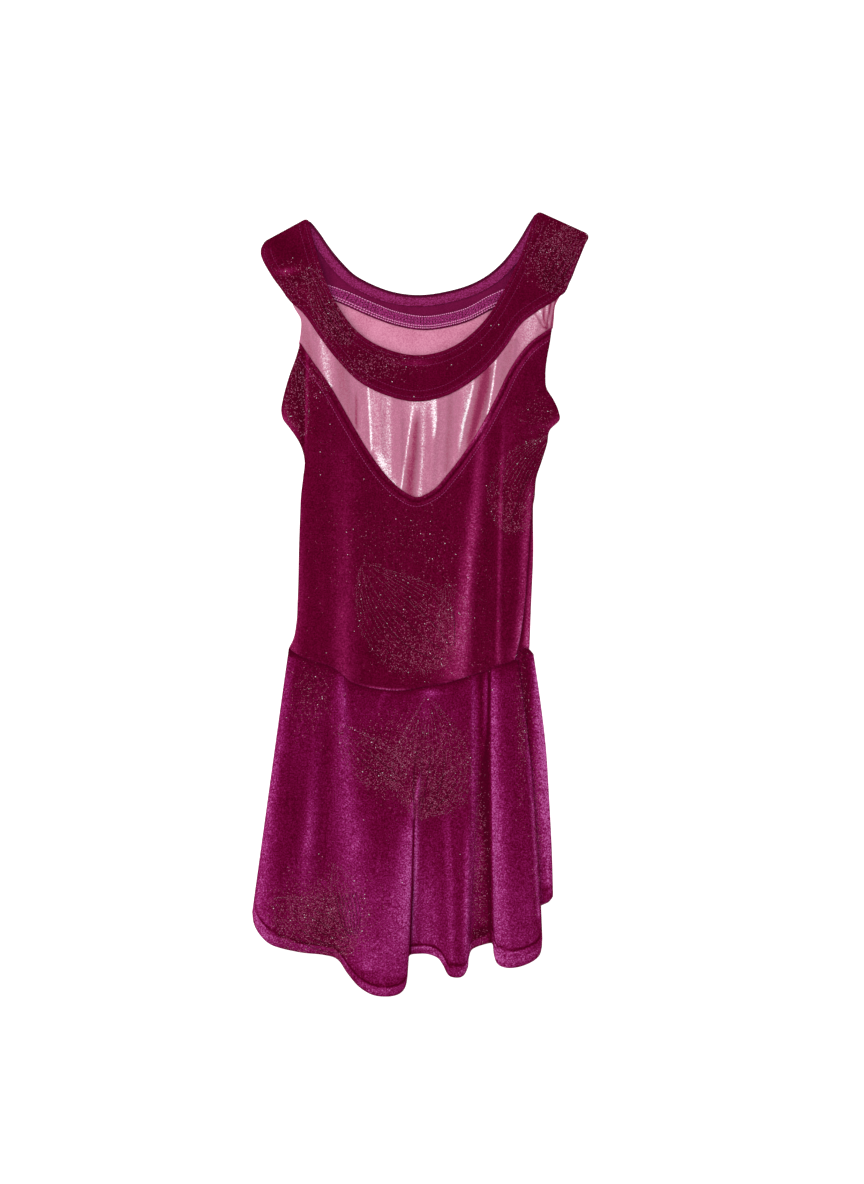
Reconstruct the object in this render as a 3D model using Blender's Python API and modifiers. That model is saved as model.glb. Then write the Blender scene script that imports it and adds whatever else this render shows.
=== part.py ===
"""A figure skating dress that lies flat on its back, front up.

The back panels lie flat on the surface and the front panels lie on them. The
collar-like yoke and the body are stretch velvet. The crescent let in between
them is foil-printed spandex, in the front and in the back. The flared skirt is
sewn on at a dipped waist seam and lies in three soft flutes. Every panel is a
grid bent to its cut edges and then thickened to a cloth wall.

Right across the dress is +X, towards the shoulders is +Y, and up is +Z.
Every size below is in millimetres.
"""

from collections import namedtuple

import bmesh
import bpy
import numpy as np

MM = 0.001
DRESS = "skating_dress"

# Cloth walls, and the clear space left at seams and between layers
VELVET_WALL = 1.4
FOIL_WALL = 1.0
STRIP_WALL = 1.0
SEAM_GAP = 0.4
WAIST_GAP = 1.5
LAYER_GAP = 0.35

# Heights of the front's middle surface above the table
EDGE_HEIGHT = 2.6
BODICE_LOFT = 3.6
BODICE_ROLL = 12.0
WAIST_HEIGHT = 3.2
WAIST_ROLL = 9.0
SKIRT_LEVEL = 6.2
SKIRT_ROLL = 3.2
SKIRT_WAIST_ROLL = 0.07

# The back skirt shows beside the front one as a narrow rolled strip
BACK_STRIP_RISE = 2.0
RIGHT_BULGE = 4.0
RIGHT_BULGE_FROM = 60.0
RIGHT_BULGE_OVER = 30.0

# The turned-in neck edge and the overlocked allowance, inside the back yoke
TURNING_WIDTH = 8.5
ALLOWANCE_WIDTH = 12.5
TRIM_STANDOFF = 0.9

# The side edges of the front at each height
Outline = namedtuple("Outline", "name up left right")
OUTLINE = [
    Outline("below waist", -56.0, -128.5, 88.2),
    Outline("waist corner", -44.0, -126.5, 91.0),
    Outline("above waist", -35.0, -122.2, 93.1),
    Outline("waist hollow", -20.0, -119.2, 95.6),
    Outline("low side", 3.0, -117.9, 98.3),
    Outline("side", 60.0, -116.5, 102.6),
    Outline("high side", 85.0, -115.6, 104.6),
    Outline("under the arm", 100.0, -115.0, 107.6),
    Outline("side seam top", 120.0, -112.8, 109.6),
    Outline("left ear foot", 135.0, -111.4, 114.6),
    Outline("ear", 152.0, -116.0, 119.9),
    Outline("ear rise", 166.0, -125.0, 123.1),
    Outline("ear tip", 174.8, -131.8, 131.8),
    Outline("ear top", 182.4, -133.7, 131.0),
    Outline("armhole foot", 194.0, -132.3, 126.0),
    Outline("armhole turn", 205.0, -129.6, 119.4),
    Outline("armhole", 217.0, -126.0, 118.4),
    Outline("armhole upper", 236.0, -119.2, 120.3),
    Outline("bodice corner", 248.3, -116.0, 122.7),
    Outline("insert side", 258.0, -115.0, 124.1),
    Outline("insert middle", 272.0, -116.2, 126.2),
    Outline("insert flare", 282.0, -122.7, 127.8),
    Outline("insert corner", 290.0, -126.6, 130.5),
    Outline("strap foot", 299.0, -133.2, 134.8),
    Outline("strap", 316.0, -145.6, 144.5),
    Outline("strap turn", 331.0, -153.0, 150.4),
    Outline("shoulder tip", 344.0, -152.3, 156.1),
    Outline("shoulder", 374.0, -152.0, 163.0),
]

# Seams that run across the dress, from left to right
Point = namedtuple("Point", "across up")
WAIST_SEAM = [
    Point(-126.5, -43.9),
    Point(-114.1, -50.6),
    Point(-100.8, -55.4),
    Point(-87.4, -59.2),
    Point(-77.8, -64.9),
    Point(-66.4, -74.5),
    Point(-50.1, -79.3),
    Point(-15.8, -82.1),
    Point(10.0, -77.4),
    Point(27.2, -74.5),
    Point(44.4, -68.8),
    Point(60.6, -64.2),
    Point(73.1, -59.0),
    Point(88.3, -55.4),
]
BODICE_TOP = [
    Point(-116.0, 248.3),
    Point(-104.0, 230.6),
    Point(-89.3, 210.1),
    Point(-66.4, 170.9),
    Point(-51.1, 145.2),
    Point(-35.8, 124.1),
    Point(-20.5, 108.9),
    Point(-5.0, 100.9),
    Point(10.0, 107.0),
    Point(25.3, 123.2),
    Point(40.6, 143.2),
    Point(55.9, 167.1),
    Point(71.1, 195.8),
    Point(86.4, 226.3),
    Point(101.7, 246.4),
    Point(124.6, 263.6),
]
BACK_WAIST_SEAM = [
    Point(-124.5, -46.0),
    Point(-70.0, -57.0),
    Point(-10.0, -62.0),
    Point(50.0, -60.0),
    Point(86.0, -56.5),
    Point(94.1, -46.4),
    Point(98.5, -43.2),
    Point(103.0, -44.5),
    Point(106.8, -48.7),
]
BACK_BODICE_TOP = [
    Point(-114.5, 247.0),
    Point(-95.0, 226.0),
    Point(-55.0, 186.0),
    Point(0.0, 168.0),
    Point(55.0, 188.0),
    Point(100.0, 236.0),
    Point(121.0, 260.0),
]
BACK_HEM = [
    Point(-158.0, -288.0),
    Point(-110.0, -312.0),
    Point(-30.0, -322.0),
    Point(50.0, -312.0),
    Point(104.0, -293.0),
    Point(125.6, -283.6),
]
BACK_BODICE_RIGHT = [
    Point(102.9, -42.7),
    Point(104.6, 2.9),
    Point(106.4, 45.0),
    Point(106.6, 98.4),
    Point(108.0, 118.0),
    Point(117.5, 152.0),
    Point(121.0, 166.0),
    Point(127.0, 176.0),
    Point(118.5, 202.0),
    Point(116.5, 217.0),
    Point(118.5, 236.0),
    Point(121.0, 260.0),
]
BACK_SKIRT_RIGHT = [
    Point(106.8, -48.7),
    Point(113.2, -92.6),
    Point(117.9, -130.8),
    Point(121.8, -188.1),
    Point(124.6, -245.4),
    Point(125.6, -283.6),
]

# Sections round each yoke, from the left shoulder to the right one: the neck
# edge, and the outer edge, which is the strap's side and then the insert's seam
YokeSection = namedtuple("YokeSection", "name neck_across neck_up outer_across outer_up")
FRONT_YOKE = [
    YokeSection("left shoulder", -108.4, 367.7, -152.3, 343.8),
    YokeSection("left strap top", -105.5, 354.0, -152.8, 331.0),
    YokeSection("left strap", -101.5, 339.0, -143.6, 313.4),
    YokeSection("left strap foot", -96.0, 320.0, -133.2, 298.9),
    YokeSection("left insert corner", -90.0, 303.5, -125.6, 288.4),
    YokeSection("left turn", -83.5, 289.5, -112.2, 276.0),
    YokeSection("left side", -74.0, 274.0, -96.9, 254.0),
    YokeSection("left slope", -62.0, 259.5, -81.7, 234.0),
    YokeSection("left low", -47.0, 248.5, -60.0, 212.0),
    YokeSection("left centre", -27.0, 240.0, -34.0, 198.5),
    YokeSection("centre", -5.3, 236.2, -5.3, 192.4),
    YokeSection("right centre", 17.0, 239.3, 22.0, 197.5),
    YokeSection("right low", 37.0, 248.5, 45.0, 210.0),
    YokeSection("right slope", 53.0, 261.5, 65.0, 226.5),
    YokeSection("right side", 66.0, 277.0, 80.5, 245.0),
    YokeSection("right turn", 76.0, 293.5, 95.0, 266.3),
    YokeSection("right armhole", 83.5, 307.5, 111.5, 279.2),
    YokeSection("right insert corner", 90.0, 321.0, 131.3, 292.2),
    YokeSection("right strap foot", 97.0, 336.5, 140.9, 308.5),
    YokeSection("right strap", 103.5, 355.0, 150.4, 331.4),
    YokeSection("right shoulder", 110.3, 374.4, 160.9, 351.4),
]
BACK_YOKE = [
    YokeSection("left shoulder", -108.8, 366.9, -151.0, 343.2),
    YokeSection("left strap top", -103.0, 360.4, -151.0, 333.0),
    YokeSection("left strap", -97.0, 352.6, -143.5, 316.5),
    YokeSection("left corner", -88.0, 339.5, -127.0, 296.5),
    YokeSection("left turn", -77.0, 326.0, -106.5, 296.0),
    YokeSection("left side", -62.6, 312.3, -80.7, 287.5),
    YokeSection("left low", -40.0, 301.0, -50.0, 274.0),
    YokeSection("left centre", -20.0, 295.4, -25.0, 265.0),
    YokeSection("centre", 0.0, 294.0, 0.5, 260.7),
    YokeSection("right centre", 20.0, 296.5, 22.0, 262.8),
    YokeSection("right low", 42.0, 302.2, 45.0, 269.0),
    YokeSection("right side", 60.0, 310.8, 70.0, 281.5),
    YokeSection("right turn", 75.0, 322.8, 100.0, 293.0),
    YokeSection("right corner", 87.0, 337.0, 132.0, 293.5),
    YokeSection("right strap foot", 95.0, 349.0, 141.8, 307.5),
    YokeSection("right strap", 102.0, 361.0, 148.5, 324.0),
    YokeSection("right shoulder", 110.0, 373.7, 159.4, 350.6),
]
LEFT_INSERT_CORNER = 4
RIGHT_INSERT_CORNER = 17
BACK_LEFT_CORNER = 3
BACK_RIGHT_CORNER = 13

# Soft folds of the front above the waist: a line down the cloth, how wide the
# fold is to each side of it, and how far it rises, or sinks where that is minus
Fold = namedtuple("Fold", "name top_across top_up low_across low_up reach rise")
BODICE_FOLDS = [
    Fold("left front ridge", -66.0, 122.0, -68.5, -62.0, 17.0, 2.4),
    Fold("right front ridge", 54.0, 137.0, 36.0, -45.0, 13.0, 2.6),
    Fold("centre hollow", 0.0, 84.0, -8.0, -60.0, 34.0, -1.2),
    Fold("right fold edge", 77.0, 122.0, 73.5, -50.0, 4.0, 1.1),
    Fold("left armhole crease", -110.3, 216.0, -112.0, 140.0, 5.0, -2.6),
    Fold("left chest ridge", -96.0, 205.0, -101.0, 95.0, 11.0, 1.6),
    Fold("right chest ridge", 100.0, 215.0, 93.0, 110.0, 10.0, 1.8),
    Fold("left strap crease", -141.0, 322.0, -112.0, 330.0, 6.0, -1.3),
    Fold("left strap ridge", -134.0, 310.0, -104.0, 318.0, 7.0, 1.0),
    Fold("right strap ridge", 128.0, 350.0, 118.0, 300.0, 10.0, 1.2),
]

# Drape ridges of the slack insert, which fade out at both of its seams
Drape = namedtuple("Drape", "name top_across low_across reach rise")
INSERT_DRAPES = [
    Drape("left armhole gather", -106.0, -103.0, 3.4, 0.9),
    Drape("left pull", -76.0, -66.0, 4.6, 1.0),
    Drape("first drape", -40.0, -39.0, 3.4, 1.9),
    Drape("second drape", -21.0, -20.5, 3.2, 1.5),
    Drape("centre drape", -3.5, -12.0, 3.6, 1.9),
    Drape("short drape", 14.0, 9.0, 3.0, 1.4),
    Drape("right hollow", 27.0, 22.0, 6.0, -0.8),
    Drape("third drape", 43.0, 33.0, 3.6, 1.7),
    Drape("fourth drape", 64.5, 55.0, 3.6, 1.5),
    Drape("right pull", 90.0, 86.0, 4.0, 1.1),
    Drape("right armhole gather", 112.0, 108.0, 2.8, 1.1),
    Drape("right edge gather", 121.0, 117.0, 2.4, 1.1),
]

# Lines that run down the skirt from the waist seam to the hem, and how high
# each one lies at the hem
Rib = namedtuple("Rib", "name waist_across hem_across hem_up rise")
SKIRT_RIBS = [
    Rib("left edge", -126.5, -161.4, -295.1, 9.0),
    Rib("left roll", -125.0, -159.8, -305.6, 9.5),
    Rib("left corner", -121.0, -154.0, -316.3, 10.0),
    Rib("left lobe", -113.0, -142.0, -326.3, 10.5),
    Rib("left shallow", -98.0, -117.0, -332.8, 8.0),
    Rib("left trough", -82.0, -93.0, -335.6, 6.0),
    Rib("big flute foot", -72.0, -80.0, -340.0, 7.0),
    Rib("big flute rise", -63.5, -70.5, -353.2, 10.0),
    Rib("big flute shoulder", -53.0, -60.0, -365.2, 13.0),
    Rib("big flute crown", -38.0, -47.0, -373.0, 15.0),
    Rib("big flute top", -20.0, -32.9, -374.8, 15.5),
    Rib("big flute turn", -5.0, -21.5, -372.4, 14.0),
    Rib("big flute edge", 2.0, -15.8, -366.0, 11.0),
    Rib("big flute wall", 4.5, -13.6, -354.0, 7.0),
    Rib("big flute under", 6.5, -13.9, -342.0, 4.2),
    Rib("recess start", 10.0, -11.0, -336.0, 3.2),
    Rib("recess middle", 17.0, -4.0, -334.7, 3.0),
    Rib("recess end", 25.0, 6.0, -334.9, 3.4),
    Rib("small flute foot", 33.0, 15.5, -338.6, 5.0),
    Rib("small flute rise", 39.0, 21.5, -347.5, 8.0),
    Rib("small flute crown", 47.0, 29.5, -356.5, 11.5),
    Rib("small flute turn", 55.0, 39.0, -355.0, 10.0),
    Rib("small flute edge", 59.0, 43.5, -348.6, 6.5),
    Rib("small flute wall", 61.0, 44.9, -338.1, 4.2),
    Rib("gap start", 63.5, 49.0, -330.0, 3.2),
    Rib("gap end", 67.5, 62.5, -325.0, 3.2),
    Rib("right flute wall", 70.0, 68.0, -325.5, 5.2),
    Rib("right flute edge", 71.3, 69.5, -336.0, 9.5),
    Rib("right flute turn", 73.0, 73.0, -344.3, 13.0),
    Rib("right flute crown", 77.0, 82.0, -347.5, 15.5),
    Rib("right flute side", 82.0, 93.0, -346.5, 14.5),
    Rib("right flute fall", 86.5, 104.0, -342.5, 12.0),
    Rib("right corner", 89.5, 111.5, -337.0, 10.0),
    Rib("right roll", 91.0, 114.3, -329.5, 8.0),
    Rib("right edge", 91.8, 115.1, -319.9, 7.0),
]
FOLD_GROWTH = 1.15


# Panels that share a seam read it at the same points, so their edges keep apart
YOKE_STEPS = 3
BODICE_COLUMNS = 39
BACK_COLUMNS = 24
BACK_CROWDING = 1.6
NOTCH_POINTS = 2
FINE_SIDE = 160
FOLD_FADE = 16.0

# The bodice's rows of points crowd together at the waist notch and the armholes
Rows = namedtuple("Rows", "name share_of_rows share_of_height")
BODICE_ROWS = [
    Rows("waist", 0.0, 0.0),
    Rows("waist notch", 0.12, 0.06),
    Rows("underarm", 0.50, 0.55),
    Rows("armhole", 0.90, 0.88),
    Rows("top", 1.0, 1.0),
]

# Rows of faces in each panel, from its lower edge to its upper edge
PANEL_ROWS = {
    "yoke_back": 3,
    "insert_back": 3,
    "bodice_back": 16,
    "skirt_back": 10,
    "neckline_turning_back": 1,
    "yoke_seam_allowance_back": 1,
    "yoke_front": 4,
    "insert_front": 5,
    "bodice_front": 22,
    "skirt_front": 12,
}
TURNING_COLUMNS = 40
ALLOWANCE_COLUMNS = 30

# How far round the back yoke its two strips run
TURNING_FROM = 0.06
TURNING_TO = 0.94
ALLOWANCE_FROM = 0.235
ALLOWANCE_TO = 0.775


def even(count):
    """Evenly spaced shares from 0 to 1, for so many steps."""
    return np.linspace(0.0, 1.0, count + 1)


def crowded_right(count):
    """Shares from 0 to 1 that crowd together towards the right side."""
    return 1 - (1 - even(count)) ** BACK_CROWDING


def column(table, name):
    """One named column of a table, as an array."""
    return np.array([getattr(row, name) for row in table])


def smooth(knots, values, places):
    """A curve that passes smoothly through values at knots, read at places."""
    slopes = np.gradient(values, knots, axis=0)
    places = np.clip(places, knots[0], knots[-1])
    step = np.clip(np.searchsorted(knots, places, side="right") - 1, 0, len(knots) - 2)
    span = knots[step + 1] - knots[step]
    part = (places - knots[step]) / span
    if values.ndim > 1:
        span = span[..., None]
        part = part[..., None]
    start = (2 * part**3 - 3 * part**2 + 1) * values[step]
    end = (3 * part**2 - 2 * part**3) * values[step + 1]
    leave = (part**3 - 2 * part**2 + part) * span * slopes[step]
    arrive = (part**3 - part**2) * span * slopes[step + 1]
    return start + end + leave + arrive


def line(points, fractions):
    """Points along the smooth curve through points, by fractions of its length."""
    points = np.array([(point.across, point.up) for point in points])
    steps = np.linalg.norm(np.diff(points, axis=0), axis=1)
    knots = np.concatenate(([0.0], np.cumsum(steps)))
    return smooth(knots, points, fractions * knots[-1])


def moved_aside(points, distance):
    """A line of points moved to the left of its own direction by distance."""
    run = np.gradient(points, axis=0)
    run /= np.linalg.norm(run, axis=1, keepdims=True)
    return points + distance * np.stack((-run[:, 1], run[:, 0]), axis=1)


def read_along(points, fractions):
    """Read a line of points at fractions of their count, straight between neighbours."""
    places = np.linspace(0.0, 1.0, len(points))
    return np.stack([np.interp(fractions, places, points[:, axis]) for axis in (0, 1)], axis=-1)


def bow(points):
    """How far each point of a side edge lies from the straight line between its ends."""
    share = np.linspace(0.0, 1.0, len(points))[:, None]
    return points - (points[0] * (1 - share) + points[-1] * share)


def patch(across, up, bottom, top, left, right):
    """Straight runs from bottom to top, each bowed as the two side edges are."""
    up_share = up[..., None]
    across_share = across[..., None]
    straight = read_along(bottom, across) * (1 - up_share) + read_along(top, across) * up_share
    left_bow = read_along(bow(left), up) * (1 - across_share)
    right_bow = read_along(bow(right), up) * across_share
    return straight + left_bow + right_bow


def side(name, low, high):
    """A dense side edge of the front, between two heights."""
    up = np.linspace(low, high, FINE_SIDE)
    return np.stack((smooth(column(OUTLINE, "up"), column(OUTLINE, name), up), up), axis=1)


def waist_up(across):
    """How high up the front's waist seam lies, at each place across."""
    seam = line(WAIST_SEAM, even(BODICE_COLUMNS))
    return np.interp(across, seam[:, 0], seam[:, 1])


def shoulder_up(across):
    """How high up the shoulder lines lie, at each place across."""
    left_end = FRONT_YOKE[0]
    right_end = FRONT_YOKE[-1]
    places = [left_end.outer_across, left_end.neck_across, right_end.neck_across, right_end.outer_across]
    heights = [left_end.outer_up, left_end.neck_up, right_end.neck_up, right_end.outer_up]
    return np.interp(across, places, heights)


def fold_height(across, up):
    """The rise of all the soft folds of the front above the waist."""
    total = np.zeros_like(across)
    for fold in BODICE_FOLDS:
        run = np.array((fold.low_across - fold.top_across, fold.low_up - fold.top_up))
        length = np.hypot(*run)
        along = ((across - fold.top_across) * run[0] + (up - fold.top_up) * run[1]) / length**2
        aside = ((across - fold.top_across) * run[1] - (up - fold.top_up) * run[0]) / length
        past = np.maximum(0.0, np.abs(along - 0.5) - 0.5) * length
        total += fold.rise * np.exp(-((aside / fold.reach) ** 2) - (past / FOLD_FADE) ** 2)
    return total


def front_height(across, up):
    """The middle of the front's wall above the table: low at each edge, soft folds within."""
    ups = column(OUTLINE, "up")
    from_left = across - smooth(ups, column(OUTLINE, "left"), up)
    from_right = smooth(ups, column(OUTLINE, "right"), up) - across
    inward = np.minimum(np.minimum(from_left, from_right), shoulder_up(across) - up)
    roll = 1 - np.exp(-np.maximum(inward, 0.0) / BODICE_ROLL)
    height = EDGE_HEIGHT + (BODICE_LOFT + fold_height(across, up)) * roll
    above_waist = np.maximum(up - waist_up(across), 0.0)
    return WAIST_HEIGHT + (height - WAIST_HEIGHT) * (1 - np.exp(-above_waist / WAIST_ROLL))


def yoke_edges(sections):
    """The outer edge and neck edge of a yoke, at its own columns of points."""
    places = np.arange(len(sections), dtype=float)
    outer = np.stack((column(sections, "outer_across"), column(sections, "outer_up")), axis=1)
    neck = np.stack((column(sections, "neck_across"), column(sections, "neck_up")), axis=1)
    stations = np.linspace(0.0, places[-1], YOKE_STEPS * (len(sections) - 1) + 1)
    return smooth(places, outer, stations), smooth(places, neck, stations)


def insert_seam(sections, first, last):
    """The stretch of a yoke's outer edge that is sewn to the insert, less the gap."""
    outer, _ = yoke_edges(sections)
    return moved_aside(outer[first * YOKE_STEPS : last * YOKE_STEPS + 1], -SEAM_GAP)


def with_height(points, height):
    """Points across and up, with their heights."""
    return np.concatenate((points, height[..., None]), axis=-1)


def place_yoke_front(across, up):
    """From the outer edge to the neck edge, section by section."""
    outer, neck = yoke_edges(FRONT_YOKE)
    share = up[..., None]
    points = read_along(outer, across) * (1 - share) + read_along(neck, across) * share
    return with_height(points, front_height(points[..., 0], points[..., 1]))


def place_insert_front(across, up):
    """Between the bodice's top edge and the yoke, with its drape ridges."""
    top = insert_seam(FRONT_YOKE, LEFT_INSERT_CORNER, RIGHT_INSERT_CORNER)
    bottom = moved_aside(line(BODICE_TOP, even(BODICE_COLUMNS)), SEAM_GAP)
    left = side("left", bottom[0, 1], top[0, 1])
    right = side("right", bottom[-1, 1], top[-1, 1])
    points = patch(across, up, bottom, top, left, right)
    slack = np.sin(np.pi * up)
    ridges = np.zeros_like(across)
    for drape in INSERT_DRAPES:
        middle = drape.low_across + (drape.top_across - drape.low_across) * up
        ridges += drape.rise * np.exp(-(((points[..., 0] - middle) / drape.reach) ** 2))
    return with_height(points, front_height(points[..., 0], points[..., 1]) + ridges * slack)


def place_bodice_front(across, up):
    """Between the waist seam and the bodice's top edge."""
    bottom = line(WAIST_SEAM, even(BODICE_COLUMNS))
    top = line(BODICE_TOP, even(BODICE_COLUMNS))
    left = side("left", bottom[0, 1], top[0, 1])
    right = side("right", bottom[-1, 1], top[-1, 1])
    crowded_up = np.interp(up, column(BODICE_ROWS, "share_of_rows"), column(BODICE_ROWS, "share_of_height"))
    points = patch(across, crowded_up, bottom, top, left, right)
    return with_height(points, front_height(points[..., 0], points[..., 1]))


def place_skirt_front(across, up):
    """Down the ribs from the waist seam to the hem, the flutes growing on the way."""
    down = 1 - up
    places = np.arange(len(SKIRT_RIBS), dtype=float)
    at = across * places[-1]
    waist_across = smooth(places, column(SKIRT_RIBS, "waist_across"), at)
    hem_across = smooth(places, column(SKIRT_RIBS, "hem_across"), at)
    hem_up = smooth(places, column(SKIRT_RIBS, "hem_up"), at)
    rise = smooth(places, column(SKIRT_RIBS, "rise"), at)
    bulging = np.clip((waist_across - RIGHT_BULGE_FROM) / RIGHT_BULGE_OVER, 0.0, 1.0)
    x = waist_across + (hem_across - waist_across) * down
    x += RIGHT_BULGE * np.sin(np.pi * down) * bulging
    waist = waist_up(waist_across) - WAIST_GAP
    y = waist + (hem_up - waist) * down
    level = WAIST_HEIGHT + (SKIRT_LEVEL - WAIST_HEIGHT) * (1 - np.exp(-down / SKIRT_WAIST_ROLL))
    height = level + (rise - SKIRT_LEVEL) * down**FOLD_GROWTH
    left_edge, right_edge = skirt_sides(down)
    inward = np.minimum(x - left_edge, right_edge - x)
    roll = 1 - np.exp(-np.maximum(inward, 0.0) / SKIRT_ROLL)
    return np.stack((x, y, EDGE_HEIGHT + (height - EDGE_HEIGHT) * roll), axis=-1)


def skirt_sides(down):
    """Where the front skirt's two side edges lie, at each share of the way down."""
    first = SKIRT_RIBS[0]
    last = SKIRT_RIBS[-1]
    left_edge = first.waist_across + (first.hem_across - first.waist_across) * down
    right_edge = last.waist_across + (last.hem_across - last.waist_across) * down
    return left_edge, right_edge + RIGHT_BULGE * np.sin(np.pi * down)


def flat_on_table(points, wall):
    """A flat panel that rests on the table."""
    return with_height(points, np.full(points.shape[:-1], wall / 2))


def place_yoke_back(across, up):
    """The back yoke lies flat, from its outer edge to the neck edge."""
    outer, neck = yoke_edges(BACK_YOKE)
    share = up[..., None]
    points = read_along(outer, across) * (1 - share) + read_along(neck, across) * share
    return flat_on_table(points, VELVET_WALL)


def place_insert_back(across, up):
    """The flat back insert, between the back bodice and the back yoke."""
    top = insert_seam(BACK_YOKE, BACK_LEFT_CORNER, BACK_RIGHT_CORNER)
    bottom = moved_aside(line(BACK_BODICE_TOP, crowded_right(BACK_COLUMNS)), SEAM_GAP)
    left = side("left", bottom[0, 1], top[0, 1])
    right = side("right", bottom[-1, 1], top[-1, 1])
    return flat_on_table(patch(across, up, bottom, top, left, right), FOIL_WALL)


def place_bodice_back(across, up):
    """The flat back bodice. It shows beyond the front at the right side only."""
    seam = moved_aside(line(BACK_WAIST_SEAM, crowded_right(BACK_COLUMNS)), SEAM_GAP)
    bottom = seam[:-NOTCH_POINTS]
    top = line(BACK_BODICE_TOP, crowded_right(BACK_COLUMNS))
    left = side("left", bottom[0, 1], top[0, 1])
    right = line(BACK_BODICE_RIGHT, even(FINE_SIDE))
    return flat_on_table(patch(across, up, bottom, top, left, right), VELVET_WALL)


def place_skirt_back(across, up):
    """The flat back skirt, rolled up a little in the strip that the front leaves bare."""
    bottom = line(BACK_HEM, crowded_right(BACK_COLUMNS))
    top = line(BACK_WAIST_SEAM, crowded_right(BACK_COLUMNS))
    left = np.linspace(bottom[0], top[0], FINE_SIDE)
    right = line(BACK_SKIRT_RIGHT, even(FINE_SIDE))[::-1]
    points = patch(across, up, bottom, top, left, right)
    hem_up = SKIRT_RIBS[-1].hem_up
    waist = WAIST_SEAM[-1].up
    down = np.clip((points[..., 1] - waist) / (hem_up - waist), 0.0, 1.0)
    _, front_edge = skirt_sides(down)
    outline = np.interp(-points[..., 1], -right[::-1, 1], right[::-1, 0])
    strip = np.clip((points[..., 0] - front_edge) / (outline - front_edge), 0.0, 1.0)
    roll = BACK_STRIP_RISE * np.sin(np.pi * strip)
    return with_height(points, VELVET_WALL / 2 + roll)


def place_on_back_yoke(across, share):
    """Points on the back yoke's inner side, moved out by the strip's own wall."""
    outer, neck = yoke_edges(BACK_YOKE)
    share = share[..., None]
    points = read_along(outer, across) * (1 - share) + read_along(neck, across) * share
    height = VELVET_WALL + LAYER_GAP + STRIP_WALL / 2
    return with_height(points, np.full(across.shape, height))


def yoke_depth(across):
    """How deep the back yoke is, at each place round it."""
    outer, neck = yoke_edges(BACK_YOKE)
    return np.interp(across, even(len(outer) - 1), np.linalg.norm(neck - outer, axis=1))


def place_neckline_turning(across, up):
    """The turned-in neck edge, clear of both shoulder seams."""
    round_neck = TURNING_FROM + (TURNING_TO - TURNING_FROM) * across
    depth = yoke_depth(round_neck)
    share = 1 - (TRIM_STANDOFF + TURNING_WIDTH * (1 - up)) / depth
    return place_on_back_yoke(round_neck, share)


def place_seam_allowance(across, up):
    """The overlocked allowance of the seam between the back insert and the back yoke."""
    round_neck = ALLOWANCE_FROM + (ALLOWANCE_TO - ALLOWANCE_FROM) * across
    depth = yoke_depth(round_neck)
    share = (TRIM_STANDOFF + ALLOWANCE_WIDTH * up) / depth
    return place_on_back_yoke(round_neck, share)


def linear(channel):
    """One channel of an sRGB colour as the linear value that shaders use."""
    if channel <= 0.04045:
        return channel / 12.92
    return ((channel + 0.055) / 1.055) ** 2.4


def cloth_material(name, hex_colour, roughness, metallic):
    """A plain material of the cloth's own colour."""
    material = bpy.data.materials.new(name)
    material.use_nodes = True
    shader = material.node_tree.nodes["Principled BSDF"]
    channels = [int(hex_colour[place : place + 2], 16) / 255 for place in (0, 2, 4)]
    shader.inputs["Base Color"].default_value = (*[linear(channel) for channel in channels], 1.0)
    shader.inputs["Roughness"].default_value = roughness
    shader.inputs["Metallic"].default_value = metallic
    return material


def cloth_panel(collection, name, columns, place, wall, material):
    """A flat grid whose points are moved to the panel's shape, thickened to a wall."""
    grid = bmesh.new()
    bmesh.ops.create_grid(grid, x_segments=columns, y_segments=PANEL_ROWS[name], size=0.5)
    mesh = bpy.data.meshes.new(name)
    grid.to_mesh(mesh)
    grid.free()
    flat = np.empty(len(mesh.vertices) * 3, dtype=np.float32)
    mesh.vertices.foreach_get("co", flat)
    shares = np.clip(flat.reshape(-1, 3)[:, :2].astype(float) + 0.5, 0.0, 1.0)
    points = place(shares[:, 0], shares[:, 1]) * MM
    mesh.vertices.foreach_set("co", points.astype(np.float32).ravel())
    mesh.materials.append(material)
    mesh.shade_smooth()
    mesh.update()
    panel = bpy.data.objects.new(name, mesh)
    collection.objects.link(panel)
    thicken = panel.modifiers.new("cloth wall", "SOLIDIFY")
    thicken.thickness = wall * MM
    thicken.offset = 0.0
    return panel


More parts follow.
